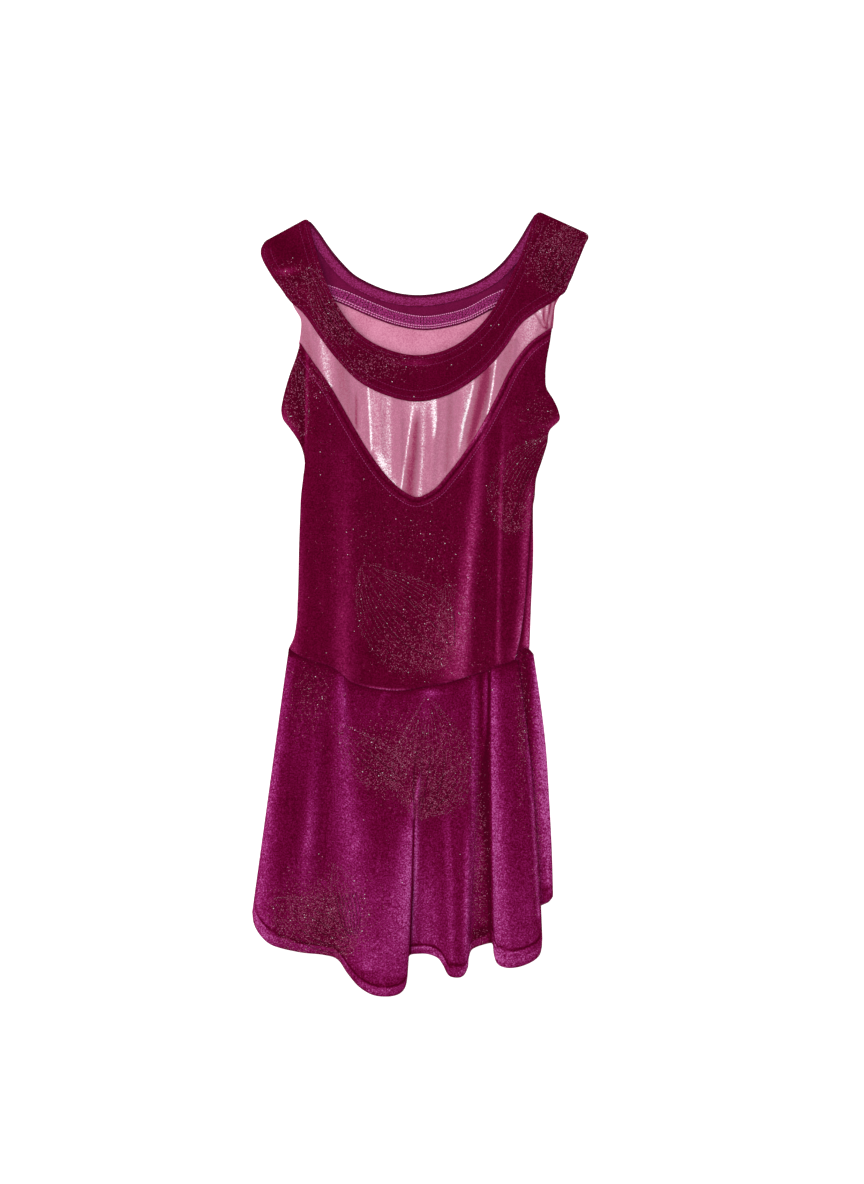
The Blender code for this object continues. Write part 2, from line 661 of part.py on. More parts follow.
def build():
    """Make the whole dress."""
    for old in list(bpy.data.objects):
        bpy.data.objects.remove(old, do_unlink=True)
    dress = bpy.data.collections.new(DRESS)
    bpy.context.scene.collection.children.link(dress)

    wine_velvet = cloth_material("wine stretch velvet", "5c0424", 0.85, 0.0)
    skirt_velvet = cloth_material("magenta stretch velvet", "7e1650", 0.85, 0.0)
    yoke_velvet = cloth_material("dark stretch velvet", "4d0220", 0.85, 0.0)
    foil_spandex = cloth_material("pink foil spandex", "c07a98", 0.4, 0.3)
    purple_turning = cloth_material("purple velvet turning", "7c1b51", 0.8, 0.0)
    overlocked_edge = cloth_material("overlocked allowance", "912a63", 0.8, 0.0)

    back_yoke_columns = YOKE_STEPS * (len(BACK_YOKE) - 1)
    front_yoke_columns = YOKE_STEPS * (len(FRONT_YOKE) - 1)
    back_insert_columns = YOKE_STEPS * (BACK_RIGHT_CORNER - BACK_LEFT_CORNER)
    front_insert_columns = 2 * YOKE_STEPS * (RIGHT_INSERT_CORNER - LEFT_INSERT_CORNER)
    skirt_columns = 2 * (len(SKIRT_RIBS) - 1)

    panels = [
        ("yoke_back", back_yoke_columns, place_yoke_back, VELVET_WALL, yoke_velvet),
        ("insert_back", back_insert_columns, place_insert_back, FOIL_WALL, foil_spandex),
        ("bodice_back", BACK_COLUMNS, place_bodice_back, VELVET_WALL, wine_velvet),
        ("skirt_back", BACK_COLUMNS, place_skirt_back, VELVET_WALL, skirt_velvet),
        ("neckline_turning_back", TURNING_COLUMNS, place_neckline_turning, STRIP_WALL, purple_turning),
        ("yoke_seam_allowance_back", ALLOWANCE_COLUMNS, place_seam_allowance, STRIP_WALL, overlocked_edge),
        ("yoke_front", front_yoke_columns, place_yoke_front, VELVET_WALL, yoke_velvet),
        ("insert_front", front_insert_columns, place_insert_front, FOIL_WALL, foil_spandex),
        ("bodice_front", BODICE_COLUMNS, place_bodice_front, VELVET_WALL, wine_velvet),
        ("skirt_front", skirt_columns, place_skirt_front, VELVET_WALL, skirt_velvet),
    ]
    for name, columns, place, wall, material in panels:
        cloth_panel(dress, name, columns, place, wall, material)


build()
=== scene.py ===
"""The looks of a figure skating dress that lies flat on its back, front up.

Each cloth panel of the frame is replaced by a thin shell on the same form, made
finer: rolled and turned edges, sewn grooves and creases, and light and shade painted
into the velvet's and the foil's colour. Threads, overlocking and glitter are small solids laid on the panels.

Right across the dress is +X, towards the shoulders is +Y, and up is +Z. Sizes and
places below are in millimetres, and a mesh is put into metres when it is made.
"""

from collections import namedtuple
import bpy
import numpy as np
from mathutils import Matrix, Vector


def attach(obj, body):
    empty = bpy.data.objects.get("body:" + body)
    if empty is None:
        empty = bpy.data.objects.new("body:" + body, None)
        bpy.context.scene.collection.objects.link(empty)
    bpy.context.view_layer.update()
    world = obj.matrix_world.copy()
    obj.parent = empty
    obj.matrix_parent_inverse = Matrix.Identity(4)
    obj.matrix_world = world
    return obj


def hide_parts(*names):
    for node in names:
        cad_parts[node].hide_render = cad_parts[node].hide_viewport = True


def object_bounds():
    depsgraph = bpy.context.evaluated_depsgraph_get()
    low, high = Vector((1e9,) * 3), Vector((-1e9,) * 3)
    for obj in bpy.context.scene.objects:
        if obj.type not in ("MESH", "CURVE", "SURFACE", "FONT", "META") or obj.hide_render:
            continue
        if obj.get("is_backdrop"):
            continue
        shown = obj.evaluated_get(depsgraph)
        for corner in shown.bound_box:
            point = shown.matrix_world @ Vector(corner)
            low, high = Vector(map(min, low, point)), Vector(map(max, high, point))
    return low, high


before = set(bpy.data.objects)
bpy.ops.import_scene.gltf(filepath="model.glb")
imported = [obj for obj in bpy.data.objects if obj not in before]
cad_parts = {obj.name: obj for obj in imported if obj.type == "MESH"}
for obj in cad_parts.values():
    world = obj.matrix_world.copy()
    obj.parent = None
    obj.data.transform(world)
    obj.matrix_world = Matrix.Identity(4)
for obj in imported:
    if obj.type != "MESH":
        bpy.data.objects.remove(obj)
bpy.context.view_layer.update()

MM = 0.001

# The columns of tables of one kind. A station is a place on a band: the band's own height and
# place across, how far it reaches to the left and right there, and how light it is
POINT = "across up"
YOKE_SECTION = "name neck_across neck_up outer_across outer_up"
FOLD = "name top_across top_up low_across low_up reach rise"
STATION = "up across left_reach right_reach light"
SPOT = "name across up long_reach short_reach turn light"
LINE_BESIDE = "name inward amount reach"
LINE_ALONG_HEM = "name share below amount reach"


def table(columns, rows):
    """Rows whose cells are read by the names of their columns."""
    row = namedtuple("row", columns)
    return [row(*cells) for cells in rows]


# Cloth walls: the velvet with its pile, the foil spandex, and a cut strip
VELVET_WALL = 1.1
FOIL_WALL = 0.7
STRIP_WALL = 0.8
RIM_BULGE = 0.3

# Heights of the front's middle surface above the table
EDGE_HEIGHT = 2.6
BODICE_LOFT = 3.6
BODICE_ROLL = 12.0
WAIST_EDGE_HEIGHT = 4.3
WAIST_ROLL = 7.0
SKIRT_TOP_HEIGHT = 2.9
SKIRT_LEVEL = 6.2
SKIRT_ROLL = 3.2
SKIRT_WAIST_ROLL = 0.07
BACK_STRIP_RISE = 2.0
BACK_TOP = 1.4
RIGHT_BULGE = 4.0
RIGHT_BULGE_FROM = 60.0
RIGHT_BULGE_OVER = 30.0

# Sewing: what lies under at a seam, and how far in from an edge each line runs
TUCKED_UNDER = 1.3
TUCK_DROP = 1.05
TUCK_REACH = 3.0
WAIST_OVERLAP = 1.0
EDGE_LINE = 3.6
SECOND_LINE = 9.9
V_GROOVE = 4.2
V_LINE = 8.7

# The turned-in neck edge and the overlocked allowance, inside the back yoke
TURNING_WIDTH = 7.9
TURNING_STANDOFF = 2.8
ALLOWANCE_WIDTH = 12.5
ALLOWANCE_STANDOFF = 0.9
LAYER_GAP = 0.35

# The side edges of the front at each height
OUTLINE = table("name up left right", [
    ("below waist", -56, -128.5, 88.2),
    ("waist corner", -44, -126.5, 91),
    ("above waist", -35, -122.2, 93.1),
    ("waist hollow", -20, -119.2, 95.6),
    ("low side", 3, -117.9, 98.3),
    ("side", 60, -116.5, 102.6),
    ("high side", 85, -115.6, 104.6),
    ("under the arm", 100, -115, 107.6),
    ("side seam top", 120, -112.8, 109.6),
    ("left ear foot", 135, -111.4, 114.6),
    ("ear", 152, -116, 119.9),
    ("ear rise", 166, -125, 123.1),
    ("ear tip", 174.8, -131.8, 131.8),
    ("ear top", 182.4, -133.7, 131),
    ("armhole foot", 194, -132.3, 126),
    ("armhole turn", 205, -129.6, 119.4),
    ("armhole", 217, -126, 118.4),
    ("armhole upper", 236, -119.2, 120.3),
    ("bodice corner", 248.3, -116, 122.7),
    ("insert side", 258, -115, 124.1),
    ("insert middle", 272, -116.2, 126.2),
    ("insert flare", 282, -122.7, 127.8),
    ("insert corner", 290, -126.6, 130.5),
    ("strap foot", 299, -133.2, 134.8),
    ("strap", 316, -145.6, 144.5),
    ("strap turn", 331, -153, 150.4),
    ("shoulder tip", 344, -152.3, 156.1),
    ("shoulder", 374, -152, 163),
])

# Seams that run across the dress, from left to right
WAIST_SEAM = table(POINT, [
    (-126.5, -43.9), (-114.1, -50.6), (-100.8, -55.4), (-87.4, -59.2), (-77.8, -64.9), (-66.4, -74.5),
    (-50.1, -79.3), (-15.8, -82.1), (10, -77.4), (27.2, -74.5), (44.4, -68.8), (60.6, -64.2),
    (73.1, -59), (88.3, -55.4),
])
BODICE_TOP = table(POINT, [
    (-116, 248.3), (-104, 230.6), (-89.3, 210.1), (-66.4, 170.9), (-51.1, 145.2), (-35.8, 124.1),
    (-20.5, 108.9), (-5, 100.9), (10, 107), (25.3, 123.2), (40.6, 143.2), (55.9, 167.1), (71.1, 195.8),
    (86.4, 226.3), (101.7, 246.4), (124.6, 263.6),
])
BACK_WAIST_SEAM = table(POINT, [
    (-124.5, -46), (-70, -57), (-10, -62), (50, -60), (86, -56.5), (94.1, -46.4), (98.5, -43.2),
    (103, -44.5), (106.8, -48.7),
])
BACK_BODICE_TOP = table(POINT, [
    (-114.5, 247), (-95, 226), (-55, 186), (0, 168), (55, 188), (100, 236), (121, 260),
])
BACK_HEM = table(POINT, [
    (-158, -288), (-110, -312), (-30, -322), (50, -312), (104, -293), (125.6, -283.6),
])
BACK_BODICE_RIGHT = table(POINT, [
    (102.9, -42.7), (104.6, 2.9), (106.4, 45), (106.6, 98.4), (108, 118), (117.5, 152), (121, 166),
    (127, 176), (118.5, 202), (116.5, 217), (118.5, 236), (121, 260),
])
BACK_SKIRT_RIGHT = table(POINT, [
    (106.8, -48.7), (113.2, -92.6), (117.9, -130.8), (121.8, -188.1), (124.6, -245.4), (125.6, -283.6),
])

# Sections round each yoke, from the left shoulder to the right one: the neck edge, and
# the outer edge, which is the strap's side and then the insert's seam
FRONT_YOKE = table(YOKE_SECTION, [
    ("left shoulder", -108.4, 367.7, -152.3, 343.8),
    ("left strap top", -105.5, 354, -152.8, 331),
    ("left strap", -101.5, 339, -143.6, 313.4),
    ("left strap foot", -96, 320, -133.2, 298.9),
    ("left insert corner", -90, 303.5, -125.6, 288.4),
    ("left turn", -83.5, 289.5, -112.2, 276),
    ("left side", -74, 274, -96.9, 254),
    ("left slope", -62, 259.5, -81.7, 234),
    ("left low", -47, 248.5, -60, 212),
    ("left centre", -27, 240, -34, 198.5),
    ("centre", -5.3, 236.2, -5.3, 192.4),
    ("right centre", 17, 239.3, 22, 197.5),
    ("right low", 37, 248.5, 45, 210),
    ("right slope", 53, 261.5, 65, 226.5),
    ("right side", 66, 277, 80.5, 245),
    ("right turn", 76, 293.5, 95, 266.3),
    ("right armhole", 83.5, 307.5, 111.5, 279.2),
    ("right insert corner", 90, 321, 131.3, 292.2),
    ("right strap foot", 97, 336.5, 140.9, 308.5),
    ("right strap", 103.5, 355, 150.4, 331.4),
    ("right shoulder", 110.3, 374.4, 160.9, 351.4),
])
BACK_YOKE = table(YOKE_SECTION, [
    ("left shoulder", -108.8, 366.9, -151, 343.2),
    ("left strap top", -103, 360.4, -151, 333),
    ("left strap", -97, 352.6, -143.5, 316.5),
    ("left corner", -88, 339.5, -127, 296.5),
    ("left turn", -77, 326, -106.5, 296),
    ("left side", -62.6, 312.3, -80.7, 287.5),
    ("left low", -40, 301, -50, 274),
    ("left centre", -20, 295.4, -25, 265),
    ("centre", 0, 294, 0.5, 260.7),
    ("right centre", 20, 296.5, 22, 262.8),
    ("right low", 42, 302.2, 45, 269),
    ("right side", 60, 310.8, 70, 281.5),
    ("right turn", 75, 322.8, 100, 293),
    ("right corner", 87, 337, 132, 293.5),
    ("right strap foot", 95, 349, 141.8, 307.5),
    ("right strap", 102, 361, 148.5, 324),
    ("right shoulder", 110, 373.7, 159.4, 350.6),
])
# The sections between which each insert is sewn on
LEFT_INSERT_CORNER = 4
RIGHT_INSERT_CORNER = 17
BACK_LEFT_CORNER = 3
BACK_RIGHT_CORNER = 13

# Lines that run down the skirt from the waist seam to the hem, and how high each one lies
# above the table at the hem. The flutes grow by a power of the share of the way down
SKIRT_RIBS = table("name waist_across hem_across hem_up rise", [
    ("left edge", -126.5, -161.4, -295.1, 9),
    ("left roll", -125, -159.8, -305.6, 9.5),
    ("left corner", -121, -154, -316.3, 10),
    ("left lobe", -113, -142, -326.3, 10.5),
    ("left shallow", -98, -117, -332.8, 8),
    ("left trough", -82, -93, -335.6, 6),
    ("big flute foot", -72, -80, -340, 7),
    ("big flute rise", -63.5, -70.5, -353.2, 10),
    ("big flute shoulder", -53, -60, -365.2, 13),
    ("big flute crown", -38, -47, -373, 15),
    ("big flute top", -20, -32.9, -374.8, 15.5),
    ("big flute turn", -5, -21.5, -372.4, 14),
    ("big flute edge", 2, -15.8, -366, 11),
    ("big flute wall", 4.5, -13.6, -354, 7),
    ("big flute under", 6.5, -13.9, -342, 4.2),
    ("recess start", 10, -11, -336, 3.2),
    ("recess middle", 17, -4, -334.7, 3),
    ("recess end", 25, 6, -334.9, 3.4),
    ("small flute foot", 33, 15.5, -338.6, 5),
    ("small flute rise", 39, 20.8, -345.6, 8),
    ("small flute crown", 47, 26.6, -355.4, 11),
    ("small flute turn", 55, 38, -356.4, 10.5),
    ("small flute edge", 59, 43.5, -348.6, 6.5),
    ("small flute wall", 61, 44.9, -338.1, 4.2),
    ("gap start", 63.5, 49, -330, 3.2),
    ("gap end", 67.5, 62.5, -325, 3.2),
    ("right flute wall", 70, 68, -325.5, 5.2),
    ("right flute edge", 71.3, 69.5, -336, 9.5),
    ("right flute turn", 73, 73, -344.3, 13),
    ("right flute crown", 77, 82, -347.5, 15.5),
    ("right flute side", 82, 93, -346.5, 14.5),
    ("right flute fall", 86.5, 104, -342.5, 12),
    ("right corner", 89.5, 111.5, -337, 10),
    ("right roll", 91, 114.3, -329.5, 8),
    ("right edge", 91.8, 115.1, -319.9, 7),
])
FOLD_GROWTH = 1.15

# Soft folds and creases: a line down the cloth, how wide the fold is to each side of it, and
# how far it rises, or sinks where that is minus. Past its line's ends a fold or crease fades over
# a length of its own, and under the waist seam the skirt's creases start over another
BODICE_FOLDS = table(FOLD, [
    ("left front ridge", -66, 122, -68.5, -62, 17, 2.4),
    ("right front ridge", 54, 137, 36, -45, 13, 2.6),
    ("centre hollow", 0, 84, -8, -60, 34, -1.2),
    ("right fold edge", 77, 122, 73.5, -50, 4, 1.1),
    ("left armhole crease", -110.3, 216, -112, 140, 5, -2.6),
    ("left chest ridge", -96, 205, -101, 95, 11, 1.6),
    ("right chest ridge", 100, 215, 93, 110, 10, 1.8),
    ("left strap crease", -141, 322, -112, 330, 6, -1.3),
    ("left strap ridge", -134, 310, -104, 318, 7, 1),
    ("right strap ridge", 128, 350, 118, 300, 10, 1.2),
])
BODICE_CREASES = table(FOLD, [
    ("right edge line", 77.5, 178, 72.5, -56, 1.6, 0.55),
    ("right edge foot", 80.5, 160, 76, -52, 2.4, -0.5),
    ("armhole line", -109, 240, -109.5, 150, 1.5, 0.7),
    ("left waist pull", -112, -16, -96, -48, 3, -0.5),
    ("left waist pull, upper", -110, 8, -88, -26, 4, 0.35),
    ("right waist pull", 84, 2, 80, -50, 2.6, 0.6),
    ("waist dimple", -60, -52, -40, -74, 4, -0.5),
    ("belly crease", -24, -40, 14, -64, 6, -0.35),
    ("left side crease", -104, 70, -98, 20, 3.4, -0.4),
    ("right armhole pull", 126, 184, 96, 168, 4, 0.8),
    ("right armhole fold", 124, 172, 92, 150, 3.2, -0.7),
    ("left armhole pull", -130, 188, -112, 176, 3.5, 0.8),
    ("left armhole fold", -124, 172, -106, 160, 3, -0.6),
    ("front edge roll", 101, 92, 91, -46, 3, 1),
])
SKIRT_CREASES = table(FOLD, [
    ("left gather", -96, -62, -100, -112, 4, 0.8),
    ("left band edge", -72.5, -66, -70, -118, 1.8, -0.8),
    ("left band", -77, -66, -75, -150, 5, 0.9),
    ("centre left pucker", -36, -82, -38, -104, 3.5, 0.6),
    ("centre pucker", 10, -82, 10, -112, 6, 0.8),
    ("right tuck", 53, -70, 56, -206, 4, -1.4),
    ("right tuck edge", 47.2, -72, 45, -232, 1.8, 0.9),
    ("tuck ridge", 60.6, -68, 59.6, -132, 1.8, 0.9),
    ("pinched fold", -6, -204, -10.4, -330, 1.6, -1.6),
    ("pinched fold ridge", -2.6, -172, -6.6, -300, 2, 0.8),
    ("pinch knot", -8.6, -176, -9.4, -202, 2.6, 1),
    ("left sway", -104, -150, -108, -262, 5, 0.8),
    ("left sway hollow", -92, -140, -95, -262, 4.5, -0.8),
    ("recess rib", 24, -200, 29, -330, 4, 0.9),
    ("small flute rib", 44, -228, 43, -318, 3, 0.8),
    ("right flute hollow", 87, -80, 94, -240, 6, -1),
    ("left hem wave", -128, -262, -134, -322, 7, -0.7),
    ("hem wave", -101, -282, -104, -326, 6, 0.7),
])
FOLD_FADE = 16.0
CREASE_FADE = 14.0
CREASES_START_OVER = 8.0

# Drape ridges of the slack insert, which fade out at both of its seams
INSERT_DRAPES = table("name top_across low_across reach rise", [
    ("left armhole gather", -106, -103, 3.4, 0.9),
    ("left pull", -76, -66, 4.6, 1),
    ("first drape", -40, -39, 3.4, 1.9),
    ("second drape", -21, -20.5, 3.2, 1.5),
    ("centre drape", -3.5, -12, 3.6, 1.9),
    ("short drape", 14, 9, 3, 1.4),
    ("right hollow", 27, 22, 6, -0.8),
    ("third drape", 43, 33, 3.6, 1.7),
    ("fourth drape", 64.5, 55, 3.6, 1.5),
    ("right pull", 90, 86, 4, 1.1),
    ("right armhole gather", 112, 108, 2.8, 1.1),
    ("right edge gather", 121, 117, 2.4, 1.1),
])

# Light and shade painted into the velvet's colour, where its pile would catch the light or lie in shade:
# light and dark bands, each with its stations from the top down
BODICE_PAINTED_LIGHT = {
    "left band": [(178, -70, 12, 12, 0), (130, -72, 12, 12, 0.08), (90, -74, 11, 11, 0.14),
        (30, -74, 9, 10, 0.22), (-10, -75, 9, 10, 0.3), (-80, -75, 9, 11, 0.34)],
    "right band": [(176, 60, 4, 5, 0), (150, 57, 4.5, 6, 0.3), (120, 53, 5, 6.6, 0.42),
        (80, 49.6, 6, 6.4, 0.5), (40, 45.6, 7.5, 6, 0.53), (0, 42.4, 9.5, 6, 0.55),
        (-40, 39.8, 11, 7, 0.57), (-72, 37.4, 12, 8, 0.46)],
    "right ridge": [(196, 79, 1.6, 2.4, 0), (160, 77.5, 1.6, 2.4, 0.2), (90, 75.2, 1.5, 2.2, 0.42),
        (0, 73.4, 1.5, 2.6, 0.34), (-58, 72.8, 2, 3, 0.44)],
    "front edge": [(124, 106, 3, 3, 0), (104, 103.5, 4, 3, 0.4), (60, 100, 5, 3, 0.52),
        (0, 97, 5, 3, 0.48), (-30, 94.4, 5, 3, 0.74), (-56, 92.4, 6, 3, 0.6)],
    "left edge": [(130, -112, 3, 3, 0.06), (60, -116, 3, 4, 0.18), (10, -117.6, 3, 6, 0.3),
        (-50, -124.5, 4, 8, 0.4)],
    "armhole line": [(252, -108.5, 1.4, 1.6, 0), (232, -109, 1.2, 1.3, 0.4),
        (160, -110.2, 1.2, 1.3, 0.44), (138, -110.6, 1.2, 1.3, 0)],
    "armhole shade": [(246, -114, 3, 3, 0), (220, -114, 5, 3, -0.16), (150, -113, 5, 2.6, -0.2)],
    "between the folds": [(124, 64, 5, 5, 0), (70, 63, 6, 5, -0.04), (-60, 61, 6, 5, 0.02)],
    "right chest": [(200, 86, 7, 7, 0), (180, 85, 7, 7, 0.06), (140, 83, 7, 7, 0.1), (110, 82, 7, 7, 0)],
    "left chest": [(176, -84, 10, 10, 0), (140, -82, 10, 10, 0.06), (110, -82, 10, 10, 0)],
    "low middle": [(20, 14, 12, 12, 0), (-40, 22, 12, 12, 0.12), (-80, 24, 14, 12, 0.16)],
    "low left middle": [(-10, -42, 12, 12, 0), (-60, -42, 12, 12, -0.06)],
}
SKIRT_PAINTED_LIGHT = {
    "left edge": [(-52, -126, 5, 6, 0.28), (-110, -133.6, 5, 5, 0.3), (-180, -143.4, 5, 6, 0.38),
        (-240, -150.6, 6, 9, 0.36), (-290, -156.4, 8, 12, 0.34), (-330, -152, 12, 18, 0.36)],
    "second band": [(-58, -97, 5, 5, 0), (-80, -98, 6, 5, 0.08), (-120, -99, 6, 5, 0.03),
        (-190, -105, 6, 5, 0.18), (-232, -108.5, 6, 5, 0.34), (-262, -111, 6, 6, 0.18),
        (-290, -112, 6, 6, 0)],
    "beside it": [(-90, -90, 4, 4, 0), (-130, -90, 5, 4, -0.08), (-240, -94, 5, 4, -0.09),
        (-262, -94, 5, 4, 0)],
    "main band": [(-56, -77.5, 5, 3, 0), (-72, -76.5, 6, 4.4, 0.3), (-95, -75, 6.5, 4.6, 0.34),
        (-130, -74, 7.5, 6, 0.28), (-165, -73, 10, 8, 0.28), (-225, -68, 17, 15, 0.24),
        (-262, -64, 15, 16, 0.2), (-300, -62, 12, 14, 0.22), (-350, -54, 14, 16, 0.24)],
    "centre": [(-100, -44, 12, 14, 0), (-140, -42, 12, 14, -0.1), (-200, -40, 12, 14, -0.06),
        (-250, -38, 12, 14, 0)],
    "left of the hem leaf": [(-235, -112, 12, 10, 0), (-290, -112, 16, 14, 0.08),
        (-340, -112, 16, 18, 0.08)],
    "big flute crown": [(-198, -10.6, 6, 3, 0), (-215, -10.6, 9, 6, 0.42), (-250, -11.4, 14, 6, 0.44),
        (-300, -15, 15, 6, 0.48), (-356, -19, 14, 7, 0.2)],
    "big flute slope": [(-240, -36, 14, 12, 0), (-280, -38, 16, 12, 0.16), (-380, -40, 16, 14, 0.22)],
    "pinched line": [(-201, -7.2, 0.9, 0.9, 0), (-213, -7.6, 1, 1, -0.55), (-330, -11, 1.1, 1.1, -0.6),
        (-350, -11.4, 2, 2, -0.3)],
    "beside the line": [(-166, -3, 1.6, 2.4, 0), (-200, -4.6, 1.8, 2.4, 0.3),
        (-230, -5.2, 1.8, 2.8, 0.34), (-316, -8, 1.6, 3, 0.24), (-336, -8.8, 1.6, 3, 0)],
    "pinch knot": [(-158, -1, 1.4, 1.4, 0), (-166, -1.6, 1.6, 1.6, 0.4), (-182, -4.2, 2.2, 2, 0.44),
        (-194, -9, 2.6, 2.4, 0.5), (-206, -9, 2.4, 2, 0.3)],
    "recess, high": [(-140, 14, 12, 14, 0), (-185, 18, 14, 14, -0.1), (-225, 12, 10, 10, 0),
        (-250, 12, 9, 9, 0)],
    "recess, low": [(-215, 8, 12, 12, 0), (-280, 5, 13, 14, 0.26), (-345, 8, 14, 16, 0.38)],
    "recess rib": [(-188, 23.5, 3.4, 3.4, 0), (-220, 25, 3.6, 3.6, 0.2), (-290, 28, 4, 4, 0.26),
        (-345, 29, 4, 4, 0.16)],
    "small flute": [(-208, 45, 3, 2.8, 0.1), (-235, 44.4, 3.2, 2.8, 0.34), (-290, 43, 3.4, 3, 0.46),
        (-358, 42, 5, 4, 0.24)],
    "tuck edge": [(-68, 48.4, 1.2, 4, 0.2), (-100, 48.4, 1.2, 4.5, 0.34), (-180, 48.4, 1.4, 5.5, 0.3),
        (-228, 48, 1.4, 5, 0.22), (-300, 47, 1.6, 4, 0.14), (-330, 47, 1.6, 4, 0)],
    "tuck shade": [(-66, 56.5, 2.4, 3, -0.18), (-120, 57, 2.4, 3, -0.18), (-160, 57, 2.4, 3, -0.06),
        (-205, 57, 3, 3, 0)],
    "tuck ridge": [(-64, 61.8, 1.7, 1.6, 0.26), (-92, 61.4, 1.8, 1.6, 0.34),
        (-130, 60.8, 1.8, 1.6, 0.14), (-150, 60.2, 1.8, 1.6, 0)],
    "deep shade": [(-62, 64.6, 1.2, 1.3, -0.3), (-120, 63.6, 2, 1.6, -0.34), (-170, 61, 5.5, 4.4, -0.4),
        (-205, 62, 5, 3.4, -0.36), (-250, 64.8, 2.6, 1.6, -0.36), (-330, 66.6, 2.4, 1.6, -0.34)],
    "mottled strip": [(-206, 54, 4.5, 4, 0), (-235, 54.6, 5, 4, 0.28), (-300, 55, 5, 4, 0.16),
        (-330, 55, 4.5, 4, 0)],
    "right flute": [(-58, 67.2, 0.9, 5, 0.26), (-90, 67.2, 0.9, 7, 0.42), (-160, 67.3, 0.9, 8.6, 0.5),
        (-240, 68.4, 1, 13, 0.5), (-300, 70, 1.4, 18, 0.44), (-352, 72, 2, 20, 0.36)],
    "right flute side": [(-210, 100, 9, 8, 0), (-270, 100, 10, 8, 0.12), (-345, 103, 12, 9, 0.2)],
    "front edge line": [(-70, 93, 1.8, 1.4, 0), (-100, 97, 2, 1.6, 0.12), (-150, 102.4, 2, 1.6, 0.34),
        (-190, 105.4, 2, 1.6, 0.44), (-240, 108.6, 2, 1.6, 0.46), (-300, 111.6, 2, 1.6, 0.4)],
    "waist light": [(-66, 8, 16, 14, 0), (-88, 10, 14, 12, 0.1), (-104, 12, 12, 12, 0)],
}

# Painted light and painted shade in spots: soft ovals, each turned by so many degrees
SKIRT_PAINTED_SPOTS = table(SPOT, [
    ("mottled patch", -104, -212, 34, 6, 88, 0.08),
    ("brushed patch", -62, -226, 26, 12, 76, 0.1),
    ("brushed patch, low", -88, -268, 16, 10, 20, 0.08),
    ("hem leaf light", -70, -300, 30, 7, 82, 0.12),
    ("hem leaf dark", -92, -312, 22, 12, 0, -0.08),
    ("small light", -36, -88, 9, 2.6, 66, 0.2),
    ("waist arch", 10, -86, 9, 3.4, 4, 0.36),
    ("below the arch", 4, -105, 15, 5, 90, 0.16),
    ("left hollow", -124, -205, 45, 11, 86, -0.12),
    ("deep recess", 56, -270, 42, 8, 90, -0.14),
    ("recess hem", 4, -332, 16, 1.6, 0, -0.34),
    ("deep recess hem", 57, -314, 9, 5, 16, -0.36),
    ("recess blotch", 11, -238, 22, 9, 90, -0.05),
    ("right flute patch", 84, -196, 22, 4, 84, 0.05),
    ("left patch", -128, -214, 26, 6, 80, 0.06),
    ("left waist", -108, -78, 22, 16, -16, -0.16),
])
# Painted light and shade of the back skirt, where it shows beside the front
BACK_SKIRT_PAINTED_LIGHT = {
    "dark side": [(-42, 98, 6, 6, -0.3), (-100, 101, 4, 5, -0.28), (-150, 105, 4, 3.6, -0.1),
        (-280, 113, 4, 3.4, 0.14)],
    "light side": [(-50, 106.4, 2.6, 4, 0.36), (-90, 112, 5.4, 3.6, 0.54), (-150, 117.6, 8, 3.6, 0.54),
        (-200, 120, 9, 4, 0.48), (-275, 122.5, 6, 4, 0.34)],
}
BACK_SKIRT_PAINTED_SPOTS = table(SPOT, [
    ("hem line", 118, -273, 12, 1.5, 10, -0.36),
    ("waist knob", 99, -45, 8, 3, 0, -0.1),
])
# Painted light and shade of the back bodice, where it shows beside the front
BACK_BODICE_PAINTED_LIGHT = {
    "beside the front": [(112, 107, 3, 2, -0.1), (-44, 95, 3, 2, -0.2)],
    "light edge": [(112, 108, 1.4, 3, 0.24), (40, 105, 1.6, 3, 0.24), (0, 102.6, 3, 3, 0.42),
        (-44, 101, 4, 3, 0.5)],
}
# Painted light and shade spots of the yoke
YOKE_PAINTED_SPOTS = table(SPOT, [
    ("left strap crease", -128, 316.5, 11, 3.4, 4, 0.42),
    ("left strap blush", -110, 296, 12, 6, -20, 0.1),
    ("left strap dark", -132, 338, 22, 12, -28, -0.1),
    ("under the neck", -5, 229, 16, 2.6, 0, 0.3),
    ("right outer edge", 90, 257, 20, 3, 53, 0.28),
    ("right strap blush", 130, 338, 26, 12, 70, 0.1),
    ("right strap edge", 141, 310, 15, 1, 70, 0.36),
    ("right strap shade", 144.2, 309, 14, 1, 70, -0.2),
    ("left tip", -150, 333, 12, 3, 80, 0.1),
    ("left bend", -93, 254, 16, 3, -50, 0.12),
    ("right low edge", 48, 215, 24, 2.4, 38, 0.12),
    ("left low edge", -50, 208, 22, 2.2, -38, 0.08),
])
# Painted light and shade spots of the bodice
BODICE_PAINTED_SPOTS = table(SPOT, [
    ("left ear, low", -127, 170, 17, 5, -52, 0.4),
    ("left ear shade", -119, 206, 28, 7, 80, -0.14),
    ("left ear tip", -131, 183, 10, 4, 85, 0.16),
    ("right ear edge", 128, 172, 14, 4, 50, 0.34),
    ("right ear fold", 113, 168, 16, 3, 14, 0.14),
    ("right shoulder", 108, 240, 20, 5, 40, 0.08),
    ("waist corner", 84, -48, 9, 7, 0, 0.1),
    ("right V edge", 59, 168, 20, 1.8, 55, 0.42),
])

# How much painted light the pile has where nothing marks it, how much more painted light a wall's rim gets,
# and how much printed dust darkens the yoke
BODICE_PAINTED_LIGHT_BASE = 0.165
SKIRT_PAINTED_LIGHT_BASE = 0.3
YOKE_PAINTED_LIGHT_BASE = 0.14
BACK_BODICE_PAINTED_LIGHT_BASE = 0.3
BACK_SKIRT_PAINTED_LIGHT_BASE = 0.36
RIM_LIGHT = 0.62
DUST_SHADE = 0.2

